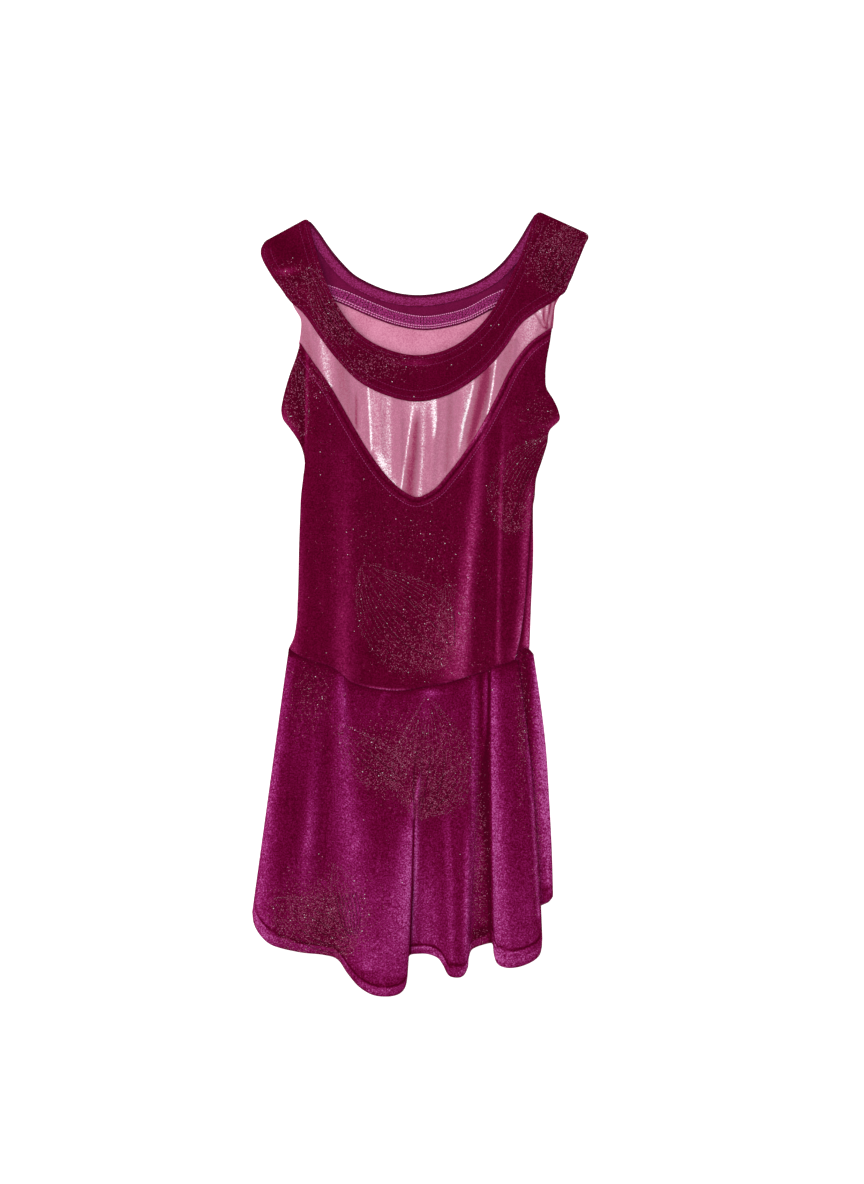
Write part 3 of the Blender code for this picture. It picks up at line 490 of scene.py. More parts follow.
# Lines of light and shade beside an edge: how far in from it, how strong, and how far each
# reaches. Along the hem, each lies at a share of the hem's depth and so far below that
V_EDGE_LIGHT = table(LINE_BESIDE, [
    ("rolled edge", 1.2, 0.3, 1.3),
    ("past the groove", 6.4, 0.26, 1.2),
])
V_SHADE = table(LINE_BESIDE, [("groove", V_GROOVE, -0.12, 1.2)])
YOKE_EDGE_LIGHT = table(LINE_BESIDE, [
    ("rolled edge", 1.2, 0.12, 1.3),
    ("past the edge line", EDGE_LINE + 1.6, 0.06, 0.9),
    ("past the second line", SECOND_LINE, 0.04, 1),
])
WAIST_SHADE = table(LINE_BESIDE, [
    ("under the seam", 0, -0.4, 2.6),
    ("below it", 0, -0.13, 12),
])
HEM_LIGHT = table(LINE_ALONG_HEM, [
    ("pressed line", 1, 0, -0.6, 1.2),
    ("below the line", 1, 2.6, 0.22, 1),
    ("swelling", 0.4, 0, 0.2, 3),
])
WAIST_LIGHT = table("across light", [
    (-126, 0.3), (-60, 0.1), (-48, 0.8), (-18, 0.8), (-10, 0.1), (40, 0.15), (88, 0.3),
])

# How the V edge's painted light grows to the right, where the waist edge's painted light lies, how far velvet
# wraps over the back neck edge, and how strong the foil's painted sparkle of grains is: least, and most at a
# brightness between
V_LIT_FROM = -40.0
V_LIT_OVER = 80.0
V_LIT_LEAST = 0.36
WAIST_LIGHT_IN = 0.6
WAIST_LIGHT_REACH = 1.0
WRAP = 2.6
WRAP_FADE = 0.8
SANDY_LEAST = 0.2
SANDY_GLOW = 0.2
SANDY_AT = 0.5
SANDY_REACH = 0.4

# Glints and shade painted into the foil's colour: 1 is a white painted glint and -1 is dark rose painted
# shade
FOIL_PAINTED_GLINTS = {
    "left corner": [(298, -118, 8, 8, 0.3), (272, -114, 7, 6, -0.2), (246, -108, 7, 5, -0.42),
        (220, -100, 7, 5, -0.4)],
    "left glint": [(262, -97, 1.6, 1.6, 0.1), (250, -95.6, 2, 3.6, 0.36), (235, -92.6, 4.4, 6.6, 0.36),
        (220, -90, 4.4, 5, 0.42), (206, -86.6, 3, 2.4, 0.6)],
    "left dull": [(240, -78, 6, 7, -0.4), (200, -73, 7, 6, -0.42), (170, -68, 7, 6, -0.3)],
    "left dark line": [(208, -62.6, 1.3, 1.6, 0), (194, -62.4, 1.3, 1.6, -0.6),
        (166, -62, 1.3, 1.6, -0.6)],
    "first glint": [(216, -52, 0.8, 1.2, 0.5), (196, -50.4, 0.8, 1.4, 0.76),
        (156, -48.4, 0.8, 1.6, 0.84), (144, -47.6, 0.8, 1.2, 0.4)],
    "beside the first glint": [(212, -48, 3, 3, 0.1), (180, -46, 3, 3, 0.24), (150, -44, 3, 3, 0.1)],
    "first glow": [(206, -42, 7, 6, 0.22), (170, -40, 6, 6, 0.2), (130, -37, 6, 5, 0.36)],
    "second glow": [(210, -31.4, 4.5, 2.2, 0.34), (180, -30.6, 4, 1.6, 0.42), (124, -30, 3.6, 1.8, 0.36)],
    "low left glow": [(152, -47.4, 1.4, 3, 0.2), (140, -41.4, 2, 5, 0.42), (124, -34, 3, 5.6, 0.6),
        (110, -25.6, 3, 5, 0.8), (102, -19.4, 3, 4, 0.6)],
    "second dull": [(204, -22.5, 3, 3.6, -0.04), (136, -22.5, 3, 3.6, -0.06)],
    "centre glint": [(188, -8.6, 0.8, 0.9, 0.5), (172, -10.4, 0.8, 0.9, 0.95), (106, -20, 0.8, 1, 1)],
    "centre glow": [(204, -4, 9, 8, 0.5), (192, -5, 8, 6, 0.46), (182, -6, 6, 5, 0.3),
        (170, -6, 6, 5, 0)],
    "centre dark": [(186, -4, 1.6, 2, 0), (172, -5, 3, 3, -0.66), (140, -8.2, 5, 4.6, -0.74),
        (118, -10.6, 6, 5.2, -0.76), (100, -11.6, 6.4, 5.2, -0.7)],
    "centre right glint": [(202, 2, 3, 2.6, 0.3), (170, 1.6, 2.6, 2, 0.44), (140, 1, 1.6, 1.4, 0.6),
        (112, -1.4, 1.4, 1.8, 0.5), (98, -2.4, 2.2, 2.4, 0.8)],
    "short glint": [(206, 13, 11, 1.6, 0.7), (190, 13.8, 8, 1.2, 0.7), (176, 13.6, 4, 1.2, 0.84),
        (162, 12.4, 1.8, 0.9, 0.84), (154, 11.4, 1.2, 1, 0)],
    "right dark": [(206, 28, 3, 3, 0), (188, 27, 3, 3.4, -0.4), (126, 24, 2.6, 3, -0.4)],
    "right painted shade": [(200, 36, 5, 4, -0.14), (140, 31, 5, 4, -0.14)],
    "third glint": [(216, 50, 1.6, 1.4, 0.5), (204, 48.2, 1.4, 1.2, 0.86), (190, 45, 1.4, 1.2, 0.88),
        (174, 40.4, 1.2, 1, 0.84), (160, 38, 1.1, 0.9, 0.6), (146, 35.6, 1.1, 0.9, 0.2)],
    "third glow": [(216, 47, 5, 3, 0.3), (212, 45, 7, 3, 0.16), (190, 43.4, 5, 2.6, 0.36),
        (160, 38.6, 4, 2, 0.3), (146, 36, 5, 6, 0.16), (136, 34, 3, 2, 0.1)],
    "right rose": [(226, 63, 6.5, 5, -0.9), (207, 59.6, 6.2, 5, -1.1), (190, 55.8, 6, 5, -1.1),
        (174, 52, 5.2, 4.4, -1.05), (156, 46.8, 4.2, 3.4, -0.9), (138, 42, 3, 2.6, 0)],
    "fourth glint": [(232, 71, 0.9, 0.9, 0.8), (206, 67.6, 0.9, 1, 1), (178, 62.6, 0.9, 1, 0.8)],
    "right dull": [(252, 86, 6, 6, -0.3), (230, 81, 6, 6, -0.36), (200, 74, 5, 6, -0.2)],
    "right glow": [(292, 114, 10, 9, 0.36), (270, 106, 10, 9, 0.36), (255, 102, 7, 9, 0.32),
        (240, 97, 4, 7, 0.16), (230, 93, 4, 6, 0)],
    "first fold": [(280, 106.6, 0.9, 1.1, 0), (275, 108.8, 0.9, 1.1, -0.8), (262, 116.6, 0.9, 1.1, -1.1)],
    "second fold": [(284, 116.8, 1.1, 1.3, -0.8), (271, 116.2, 1.1, 1.3, -1.4),
        (261, 118.6, 0.9, 1.1, -0.8)],
    "third fold": [(290, 124, 1, 1.2, -1), (273, 120.6, 1, 1.2, -1.3), (261, 119.6, 0.9, 1.1, -0.8)],
    "last fold": [(292, 128.6, 1.2, 2, -1), (278, 125.8, 1, 2, -0.8), (264, 123.6, 1, 2, -0.9)],
    "white fold": [(280, 112.6, 1, 1, 0.4), (264, 117.6, 0.8, 0.8, 0.8)],
    "white fold, outer": [(284, 119.6, 0.9, 0.9, 0.5), (266, 121.6, 0.9, 0.9, 0.8)],
}

# Loose patches of fine glitter dust in the print
DUST = table("name across up reach_across reach_up amount", [
    ("left yoke, low", -46, 228, 34, 14, 0.45),
    ("left strap", -118, 304, 22, 18, 0.5),
    ("left bend", -84, 270, 14, 20, 0.7),
    ("right strap", 130, 336, 30, 30, 0.6),
    ("left ear", -119, 204, 8, 38, 0.6),
    ("left chest", -98, 214, 14, 18, 0.3),
    ("below the front leaf", 6, -56, 36, 12, 0.4),
    ("above the front leaf", -6, 62, 50, 16, 0.07),
    ("right ear", 116, 180, 12, 14, 0.2),
    ("skirt leaves", -8, -148, 48, 32, 0.7),
    ("tucked strip", 55, -250, 7, 80, 0.6),
    ("low left", -98, -300, 40, 32, 0.8),
    ("right seam", 96, -120, 5, 56, 0.5),
    ("back strip", 110, -205, 5, 80, 0.5),
    ("skirt, upper left", -106, -92, 18, 26, 0.3),
    ("front middle", -14, 40, 74, 50, 0.05),
])


def column(rows, name):
    """One named column of a table, as an array."""
    return np.array([getattr(row, name) for row in rows], dtype=float)


def unit(vectors):
    """Vectors divided by their own lengths."""
    return vectors / np.linalg.norm(vectors, axis=-1, keepdims=True)


def even(count):
    """Evenly spaced shares from 0 to 1, for so many steps."""
    return np.linspace(0.0, 1.0, count + 1)


def bell(distance, reach):
    """A bell curve: 1 at no distance, and about a third at its reach."""
    return np.exp(-((distance / reach) ** 2))


def smooth(knots, values, places):
    """A cubic that passes smoothly through values at knots, read at places."""
    slopes = np.gradient(values, knots, axis=0)
    places = np.clip(places, knots[0], knots[-1])
    step = np.clip(np.searchsorted(knots, places, side="right") - 1, 0, len(knots) - 2)
    span = knots[step + 1] - knots[step]
    part = (places - knots[step]) / span
    if values.ndim > 1:
        span = span[..., None]
        part = part[..., None]
    start = (2 * part**3 - 3 * part**2 + 1) * values[step]
    end = (3 * part**2 - 2 * part**3) * values[step + 1]
    leave = (part**3 - 2 * part**2 + part) * span * slopes[step]
    arrive = (part**3 - part**2) * span * slopes[step + 1]
    return start + end + leave + arrive


# Points along a line, and how many of them or of places are compared at once
LINE_STEPS = 320
EDGE_BATCH = 40
PLACE_BATCH = 2000


def line(points):
    """The smooth curve through a table's points, at even shares of its length."""
    points = np.stack((column(points, "across"), column(points, "up")), axis=1)
    lengths = np.linalg.norm(np.diff(points, axis=0), axis=1)
    knots = np.concatenate(([0.0], np.cumsum(lengths)))
    return smooth(knots, points, even(LINE_STEPS) * knots[-1])


def moved_aside(points, distance):
    """A line of points moved to the left of its own direction by distance."""
    run = unit(np.gradient(points, axis=0))
    return points + distance * np.stack((-run[:, 1], run[:, 0]), axis=1)


def read_along(points, fractions):
    """Read a line of points at fractions of their count, straight between neighbours."""
    places = np.linspace(0.0, 1.0, len(points))
    return np.stack([np.interp(fractions, places, points[:, axis]) for axis in (0, 1)], axis=-1)


def bow(points):
    """How far each point of a side edge lies from the straight line between its ends."""
    share = np.linspace(0.0, 1.0, len(points))[:, None]
    return points - (points[0] * (1 - share) + points[-1] * share)


def patch(across, up, bottom, top, left, right):
    """Straight runs from bottom to top, each bowed as the two side edges are."""
    up_share = up[..., None]
    across_share = across[..., None]
    straight = read_along(bottom, across) * (1 - up_share) + read_along(top, across) * up_share
    left_bow = read_along(bow(left), up) * (1 - across_share)
    right_bow = read_along(bow(right), up) * across_share
    return straight + left_bow + right_bow


def side(name, low, high):
    """A dense side edge of the front, between two heights."""
    up = np.linspace(low, high, LINE_STEPS)
    return np.stack((smooth(column(OUTLINE, "up"), column(OUTLINE, name), up), up), axis=1)


def distance_to(x, y, edge):
    """The shortest distance from each place to a dense line of points."""
    flat = np.stack((np.ravel(x), np.ravel(y)), axis=1).astype(np.float32)
    edge = edge.astype(np.float32)
    nearest = np.full(len(flat), np.inf, dtype=np.float32)
    for start in range(0, len(edge), EDGE_BATCH):
        part = edge[start : start + EDGE_BATCH]
        apart = (flat[:, None, 0] - part[:, 0]) ** 2 + (flat[:, None, 1] - part[:, 1]) ** 2
        nearest = np.minimum(nearest, apart.min(axis=1))
    return np.sqrt(nearest).reshape(np.shape(x)).astype(float)


def along_and_aside(x, y, row):
    """How far past a line's ends each place lies, and how far to the right of the line."""
    run = np.array((row.low_across - row.top_across, row.low_up - row.top_up))
    length = np.hypot(*run)
    along = ((x - row.top_across) * run[0] + (y - row.top_up) * run[1]) / length**2
    aside = ((y - row.top_up) * run[0] - (x - row.top_across) * run[1]) / length
    past = np.maximum(0.0, np.abs(along - 0.5) - 0.5) * length
    return past, aside


def fold_height(x, y, folds, fade):
    """The sum of soft folds: a bell curve across each line, that fades past its ends."""
    total = np.zeros_like(x)
    for fold in folds:
        past, aside = along_and_aside(x, y, fold)
        total += fold.rise * bell(aside, fold.reach) * bell(past, fade)
    return total


def banded(x, y, bands):
    """The sum of light and dark bands: bell curves across lines that run down through stations.

    Where a line lies, how far it reaches to each side and how light it is are read between
    its stations, straight from one to the next, and it ends at the outer two.
    """
    total = np.zeros_like(x)
    for stations in bands.values():
        stations = table(STATION, sorted(stations))
        ups = column(stations, "up")
        aside = x - np.interp(y, ups, column(stations, "across"))
        left_reach = np.interp(y, ups, column(stations, "left_reach"))
        right_reach = np.interp(y, ups, column(stations, "right_reach"))
        light = np.interp(y, ups, column(stations, "light"), left=0.0, right=0.0)
        total += light * bell(aside, np.where(aside < 0, left_reach, right_reach))
    return total


def spotted(x, y, spots):
    """The sum of soft turned ovals, each a bell curve in two directions."""
    total = np.zeros_like(x)
    for spot in spots:
        turn = np.radians(spot.turn)
        along = (x - spot.across) * np.cos(turn) + (y - spot.up) * np.sin(turn)
        aside = (y - spot.up) * np.cos(turn) - (x - spot.across) * np.sin(turn)
        total += spot.light * bell(along, spot.long_reach) * bell(aside, spot.short_reach)
    return total


def beside(distance, lines):
    """The sum of lines that run beside an edge, each a bell curve across itself."""
    return sum(row.amount * bell(distance - row.inward, row.reach) for row in lines)


# Printed leaves of glitter: the foot of each leaf, its size, which way it points, how much
# its midrib bends, how many veins, bare lines and loose dots it has, and how dense its dust is
LEAVES = table("name across up length width turn bend veins bare dots dust", [
    ("front, large", 32, -52, 128, 84, 134, -34, 9, 3, 160, 0.9),
    ("front, small", 30, -46, 66, 30, 96, 30, 4, 1, 40, 0.6),
    ("skirt, large", -4, -206, 118, 70, 86, 30, 7, 3, 130, 0.9),
    ("skirt, left", -16, -170, 84, 40, 138, -40, 4, 2, 40, 0.9),
    ("skirt, right", 8, -200, 66, 30, 56, 34, 3, 1, 30, 0.5),
    ("hem, large", -62, -326, 92, 62, 150, -34, 6, 5, 100, 0.9),
    ("hem, upright", -66, -322, 76, 34, 104, 26, 4, 7, 30, 0.5),
    ("side", 84, 66, 104, 60, 66, -30, 8, 1, 90, 0.6),
    ("yoke, left", -70, 246, 84, 40, 118, 24, 7, 3, 60, 0.65),
    ("strap, right", 116, 300, 76, 50, 62, 34, 6, 5, 40, 0.65),
    ("left ear", -112, 160, 84, 22, 98, -12, 2, 0, 24, 0.45),
])
LEAF_STEPS = 60
DUSTY_MARGIN = 0.2
DUST_AT_TIP = 0.08


def midrib(leaf, t):
    """Points along a leaf's bent midrib, and the unit directions across it."""
    steps = even(LEAF_STEPS)
    angles = np.radians(leaf.turn + leaf.bend * (steps - 0.5))
    x = np.concatenate(([0.0], np.cumsum(np.cos(angles[:-1])))) * leaf.length / LEAF_STEPS
    y = np.concatenate(([0.0], np.cumsum(np.sin(angles[:-1])))) * leaf.length / LEAF_STEPS
    angle = np.interp(t, steps, angles)
    points = np.stack((leaf.across + np.interp(t, steps, x), leaf.up + np.interp(t, steps, y)), axis=-1)
    return points, np.stack((-np.sin(angle), np.cos(angle)), axis=-1)


def half_width(leaf, t):
    """How far a leaf's margin lies from its midrib: widest below the middle, with a drawn-out tip."""
    return leaf.width / 2 * np.sin(np.pi * t**0.8) ** 0.85


def dusted(x, y):
    """How dense the printed dust is: soft ovals, and leaves that are densest at the foot."""
    total = np.zeros_like(x)
    for dust in DUST:
        away = ((x - dust.across) / dust.reach_across) ** 2 + ((y - dust.up) / dust.reach_up) ** 2
        total = np.maximum(total, dust.amount * np.exp(-(away**1.2)))
    steps = even(LEAF_STEPS)
    for leaf in LEAVES:
        spine, _ = midrib(leaf, steps)
        apart = (x[..., None] - spine[:, 0]) ** 2 + (y[..., None] - spine[:, 1]) ** 2
        nearest = apart.argmin(axis=-1)
        t = steps[nearest]
        share = np.sqrt(apart.min(axis=-1)) / np.maximum(half_width(leaf, t), 1.0)
        inner = np.clip((1.0 - share) / DUSTY_MARGIN, 0.0, 1.0) * np.clip(1.15 - 2.0 * t, DUST_AT_TIP, 1.0)
        total = np.maximum(total, leaf.dust * inner)
    return total


WAIST_LINE = line(WAIST_SEAM)
V_EDGE = line(BODICE_TOP)


def waist_up(x):
    """How high up the front's waist seam lies, at each place across."""
    return np.interp(x, WAIST_LINE[:, 0], WAIST_LINE[:, 1])


def shoulder_up(x):
    """How high up the shoulder lines lie, at each place across."""
    left_end = FRONT_YOKE[0]
    right_end = FRONT_YOKE[-1]
    places = [left_end.outer_across, left_end.neck_across, right_end.neck_across, right_end.outer_across]
    heights = [left_end.outer_up, left_end.neck_up, right_end.neck_up, right_end.outer_up]
    return np.interp(x, places, heights)


def front_sides(y):
    """Where the two side edges of the front lie, at each height up the dress."""
    ups = column(OUTLINE, "up")
    return smooth(ups, column(OUTLINE, "left"), y), smooth(ups, column(OUTLINE, "right"), y)


def front_height(x, y):
    """The middle of the front's wall above the table: low at each edge, soft folds within."""
    left, right = front_sides(y)
    inward = np.minimum(np.minimum(x - left, right - x), shoulder_up(x) - y)
    roll = 1 - np.exp(-np.maximum(inward, 0.0) / BODICE_ROLL)
    height = EDGE_HEIGHT + (BODICE_LOFT + fold_height(x, y, BODICE_FOLDS, FOLD_FADE)) * roll
    height += fold_height(x, y, BODICE_CREASES, CREASE_FADE) * roll
    above_waist = np.maximum(y - waist_up(x), 0.0)
    lift = (1 - np.exp(-above_waist / WAIST_ROLL)) * np.ones_like(x)
    return WAIST_EDGE_HEIGHT * (1 - lift) * roll + EDGE_HEIGHT * (1 - lift) * (1 - roll) + height * lift


def yoke_edges(sections):
    """The outer edge and neck edge of a yoke, as dense lines."""
    places = np.arange(len(sections), dtype=float)
    outer = np.stack((column(sections, "outer_across"), column(sections, "outer_up")), axis=1)
    neck = np.stack((column(sections, "neck_across"), column(sections, "neck_up")), axis=1)
    stations = np.linspace(0.0, places[-1], LINE_STEPS + 1)
    return smooth(places, outer, stations), smooth(places, neck, stations)


FRONT_OUTER, FRONT_NECK = yoke_edges(FRONT_YOKE)
BACK_OUTER, BACK_NECK = yoke_edges(BACK_YOKE)


def insert_seam(outer, sections, first, last, under):
    """The stretch of a yoke's outer edge that is sewn to the insert, moved under the yoke."""
    step = LINE_STEPS / (len(sections) - 1)
    return moved_aside(outer, under)[round(first * step) : round(last * step) + 1]


def with_height(points, height):
    """Points across and up, with their heights."""
    return np.concatenate((points, height[..., None]), axis=-1)


def between(outer, neck, across, up):
    """Points on the straight runs from a yoke's outer edge to its neck edge, and their depth."""
    share = up[..., None]
    low = read_along(outer, across)
    high = read_along(neck, across)
    return low * (1 - share) + high * share, np.linalg.norm(high - low, axis=-1)


# The relief of sewn edges. A turned edge has a soft roll and two pressed lines, and the V edge
# a rolled edge, a deep groove and one stitch line
TURNED_EDGE = table(LINE_BESIDE, [
    ("roll", 1.6, 0.45, 1.5),
    ("edge line", EDGE_LINE, -0.32, 0.8),
    ("second line", SECOND_LINE, -0.26, 0.8),
])
V_RELIEF = table(LINE_BESIDE, [
    ("roll", 1.7, 0.8, 1.6),
    ("groove", V_GROOVE, -0.55, 0.9),
    ("stitch line", V_LINE, -0.3, 0.8),
])
WAIST_ROLL_OVER = table(LINE_BESIDE, [("rolled under", 0, -0.7, 1.1)])
CORNER_RADIUS = 5.0


def rounded(points, from_side, side_in, from_end, end_in):
    """Points next to a square corner pulled in, so that its edge becomes a quarter circle."""
    near_side = np.clip(1 - from_side / CORNER_RADIUS, 0.0, 1.0)
    near_end = np.clip(1 - from_end / CORNER_RADIUS, 0.0, 1.0)
    pull_in = near_side * (1 - np.sqrt(1 - near_end**2 / 2))
    pull_on = near_end * (1 - np.sqrt(1 - near_side**2 / 2))
    return points + CORNER_RADIUS * (pull_in[..., None] * side_in + pull_on[..., None] * end_in)


def rounded_yoke(outer, neck, across, up):
    """Points between a yoke's edges with its four shoulder corners rounded, and their depth."""
    points, depth = between(outer, neck, across, up)
    for end, hand in ((0, -1.0), (-1, 1.0)):
        side_in = unit(neck[end] - outer[end])
        end_in = hand * np.array((-side_in[1], side_in[0]))
        from_end = (points - outer[end]) @ end_in
        points = rounded(points, depth * up, side_in, from_end, end_in)
        points = rounded(points, depth * (1 - up), -side_in, from_end, end_in)
    return points, depth


def place_yoke_front(across, up):
    """Between the outer edge and the neck edge, on the front's form, with both edges turned."""
    points, depth = rounded_yoke(FRONT_OUTER, FRONT_NECK, across, up)
    height = front_height(points[..., 0], points[..., 1])
    height += beside(depth * up, TURNED_EDGE) + beside(depth * (1 - up), TURNED_EDGE)
    return with_height(points, height)


def place_insert_front(across, up):
    """Between the bodice and the yoke and tucked under both, with drape ridges that fade at them."""
    top = insert_seam(FRONT_OUTER, FRONT_YOKE, LEFT_INSERT_CORNER, RIGHT_INSERT_CORNER, TUCKED_UNDER)
    bottom = moved_aside(V_EDGE, -TUCKED_UNDER)
    left = side("left", bottom[0, 1], top[0, 1])
    right = side("right", bottom[-1, 1], top[-1, 1])
    points = patch(across, up, bottom, top, left, right)
    depth = np.linalg.norm(read_along(top, across) - read_along(bottom, across), axis=-1)
    from_seam = np.minimum(depth * up, depth * (1 - up))
    slack = np.sin(np.pi * up) ** 0.8
    ridges = np.zeros_like(across)
    for drape in INSERT_DRAPES:
        middle = drape.low_across + (drape.top_across - drape.low_across) * up
        ridges += drape.rise * bell(points[..., 0] - middle, drape.reach)
    height = front_height(points[..., 0], points[..., 1]) + ridges * slack
    return with_height(points, height - TUCK_DROP * bell(from_seam, TUCK_REACH))


def place_bodice_front(across, up):
    """Between the waist seam and the V edge; its lower edge rolls over the skirt's."""
    bottom = moved_aside(WAIST_LINE, -WAIST_OVERLAP)
    left = side("left", bottom[0, 1], V_EDGE[0, 1])
    right = side("right", bottom[-1, 1], V_EDGE[-1, 1])
    points = patch(across, up, bottom, V_EDGE, left, right)
    x, y = np.moveaxis(points, -1, 0)
    height = front_height(x, y) + beside(distance_to(x, y, V_EDGE), V_RELIEF)
    return with_height(points, height + beside(distance_to(x, y, bottom), WAIST_ROLL_OVER))


# How far the pressed hem line runs above the hem's edge, across the front skirt
HEM_DEPTHS = table("across depth", [
    (-160, 14), (-136, 12), (-110, 9), (-60, 9), (-35, 10.5), (-12, 8.5), (18, 8.5), (33, 12), (48, 9),
    (60, 9), (75, 18), (115, 15),
])
HEM_RELIEF = table(LINE_ALONG_HEM, [
    ("pressed line", 1, 0, -0.55, 1.3),
    ("swelling", 0.5, 0, 0.3, 3.5),
])
BACK_HEM_RELIEF = table(LINE_BESIDE, [("pressed line", 12, -0.35, 1.3)])


def along_hem(x, from_hem, lines):
    """The sum of lines along the hem, each a bell curve across itself."""
    depth = np.interp(x, column(HEM_DEPTHS, "across"), column(HEM_DEPTHS, "depth"))
    return sum(row.amount * bell(from_hem - row.share * depth + row.below, row.reach) for row in lines)


def skirt_sides(down):
    """Where the front skirt's two side edges lie, at each share of the way down."""
    left, right = [rib.waist_across + (rib.hem_across - rib.waist_across) * down
                   for rib in (SKIRT_RIBS[0], SKIRT_RIBS[-1])]
    return left, right + RIGHT_BULGE * np.sin(np.pi * down)


def share_down(y):
    """The share of the way down the front skirt's right side, at each height up the dress."""
    waist = WAIST_SEAM[-1].up
    return np.clip((y - waist) / (SKIRT_RIBS[-1].hem_up - waist), 0.0, 1.0)


def across_ribs(name, across):
    """One column of the ribs, read smoothly at shares of their count."""
    places = np.arange(len(SKIRT_RIBS), dtype=float)
    return smooth(places, column(SKIRT_RIBS, name), across * places[-1])


def place_skirt_front(across, up):
    """Down the ribs from under the waist seam to the hem, the flutes growing on the way."""
    down = 1 - up
    waist_across, hem_across, hem_up, rise = [
        across_ribs(name, across) for name in ("waist_across", "hem_across", "hem_up", "rise")]
    bulging = np.clip((waist_across - RIGHT_BULGE_FROM) / RIGHT_BULGE_OVER, 0.0, 1.0)
    x = waist_across + (hem_across - waist_across) * down
    x += RIGHT_BULGE * np.sin(np.pi * down) * bulging
    waist = waist_up(waist_across) + WAIST_OVERLAP
    y = waist + (hem_up - waist) * down
    level = SKIRT_TOP_HEIGHT + (SKIRT_LEVEL - SKIRT_TOP_HEIGHT) * (1 - np.exp(-down / SKIRT_WAIST_ROLL))
    height = level + (rise - SKIRT_LEVEL) * np.maximum(down, 0.0) ** FOLD_GROWTH
    creases = fold_height(x, y, SKIRT_CREASES, CREASE_FADE)
    height += creases * np.clip((waist - y) / CREASES_START_OVER, 0.0, 1.0)
    height += along_hem(x, y - hem_up, HEM_RELIEF)
    left, right = skirt_sides(down)
    inward = np.minimum(x - left, right - x)
    roll = 1 - np.exp(-np.maximum(inward, 0.0) / SKIRT_ROLL)
    return np.stack((x, y, EDGE_HEIGHT + (height - EDGE_HEIGHT) * roll), axis=-1)


# The flat back: the gaps at its seams, the top of its insert, how much its points crowd to the
# right, and how many steps before the right side its waist line ends
BACK_SEAM_GAP = 0.3
BACK_WAIST_GAP = 0.4
BACK_FOIL_TOP = 1.0
CROWDING = 1.6
WAIST_SHORTER = 8


def flat_on_table(points, wall, top):
    """A flat panel whose upper side lies at a height of its own."""
    return with_height(points, np.full(points.shape[:-1], top - wall / 2))


def place_yoke_back(across, up):
    """The back yoke lies flat, from its outer edge to the neck edge."""
    points, _ = rounded_yoke(BACK_OUTER, BACK_NECK, across, up)
    return flat_on_table(points, VELVET_WALL, BACK_TOP)


def place_insert_back(across, up):
    """The flat back insert, tucked under the back yoke's allowance."""
    top = insert_seam(BACK_OUTER, BACK_YOKE, BACK_LEFT_CORNER, BACK_RIGHT_CORNER, -BACK_SEAM_GAP)
    bottom = moved_aside(line(BACK_BODICE_TOP), BACK_SEAM_GAP)
    left = side("left", bottom[0, 1], top[0, 1])
    right = side("right", bottom[-1, 1], top[-1, 1])
    return flat_on_table(patch(across, up, bottom, top, left, right), FOIL_WALL, BACK_FOIL_TOP)


def crowd(share):
    """Shares from 0 to 1 that crowd together towards the right side, where the back shows."""
    return 1 - (1 - share) ** CROWDING


def place_bodice_back(across, up):
    """The flat back bodice. It shows beyond the front at the right side only."""
    bottom = moved_aside(line(BACK_WAIST_SEAM), BACK_WAIST_GAP)[:-WAIST_SHORTER]
    left = side("left", bottom[0, 1], BACK_BODICE_TOP[0].up)
    right = line(BACK_BODICE_RIGHT)
    points = patch(crowd(across), up, bottom, line(BACK_BODICE_TOP), left, right)
    return flat_on_table(points, VELVET_WALL, BACK_TOP)


def place_skirt_back(across, up):
    """The flat back skirt, rolled up a little in the strip that the front leaves bare."""
    bottom = line(BACK_HEM)
    top = line(BACK_WAIST_SEAM)
    left = np.linspace(bottom[0], top[0], LINE_STEPS)
    right = line(BACK_SKIRT_RIGHT)
    points = patch(crowd(across), up, bottom, top, left, right[::-1])
    from_hem = points[..., 1] - read_along(bottom, crowd(across))[..., 1]
    from_side = np.interp(-points[..., 1], -right[:, 1], right[:, 0]) - points[..., 0]
    points = rounded(points, from_side, (-1.0, 0.0), from_hem, (0.0, 1.0))
    x, y = np.moveaxis(points, -1, 0)
    front_edge = skirt_sides(share_down(y))[1]
    outline = np.interp(-y, -right[:, 1], right[:, 0])
    strip = np.clip((x - front_edge) / (outline - front_edge), 0.0, 1.0)
    height = BACK_TOP - VELVET_WALL / 2 + BACK_STRIP_RISE * np.sin(np.pi * strip)
    return with_height(points, height + beside(from_hem, BACK_HEM_RELIEF) * (strip > 0))


# How far round the back yoke its two strips run, and how far each is domed
TURNING_FROM = 0.06
TURNING_TO = 0.94
ALLOWANCE_FROM = 0.235
ALLOWANCE_TO = 0.775
TURNING_DOME = 0.25
ALLOWANCE_DOME = 0.3
TURNING_RELIEF = table(LINE_BESIDE, [("pressed line", 2, -0.2, 0.7)])


def place_neckline_turning(across, up):
    """The turned-in neck edge, a slightly domed strip clear of both shoulder seams."""
    round_neck = TURNING_FROM + (TURNING_TO - TURNING_FROM) * across
    _, depth = between(BACK_OUTER, BACK_NECK, round_neck, up)
    share = 1 - (TURNING_STANDOFF + TURNING_WIDTH * (1 - up)) / depth
    points, _ = between(BACK_OUTER, BACK_NECK, round_neck, share)
    height = BACK_TOP + LAYER_GAP + STRIP_WALL / 2 + TURNING_DOME * np.sin(np.pi * up)
    return with_height(points, height + beside(TURNING_WIDTH * up, TURNING_RELIEF))


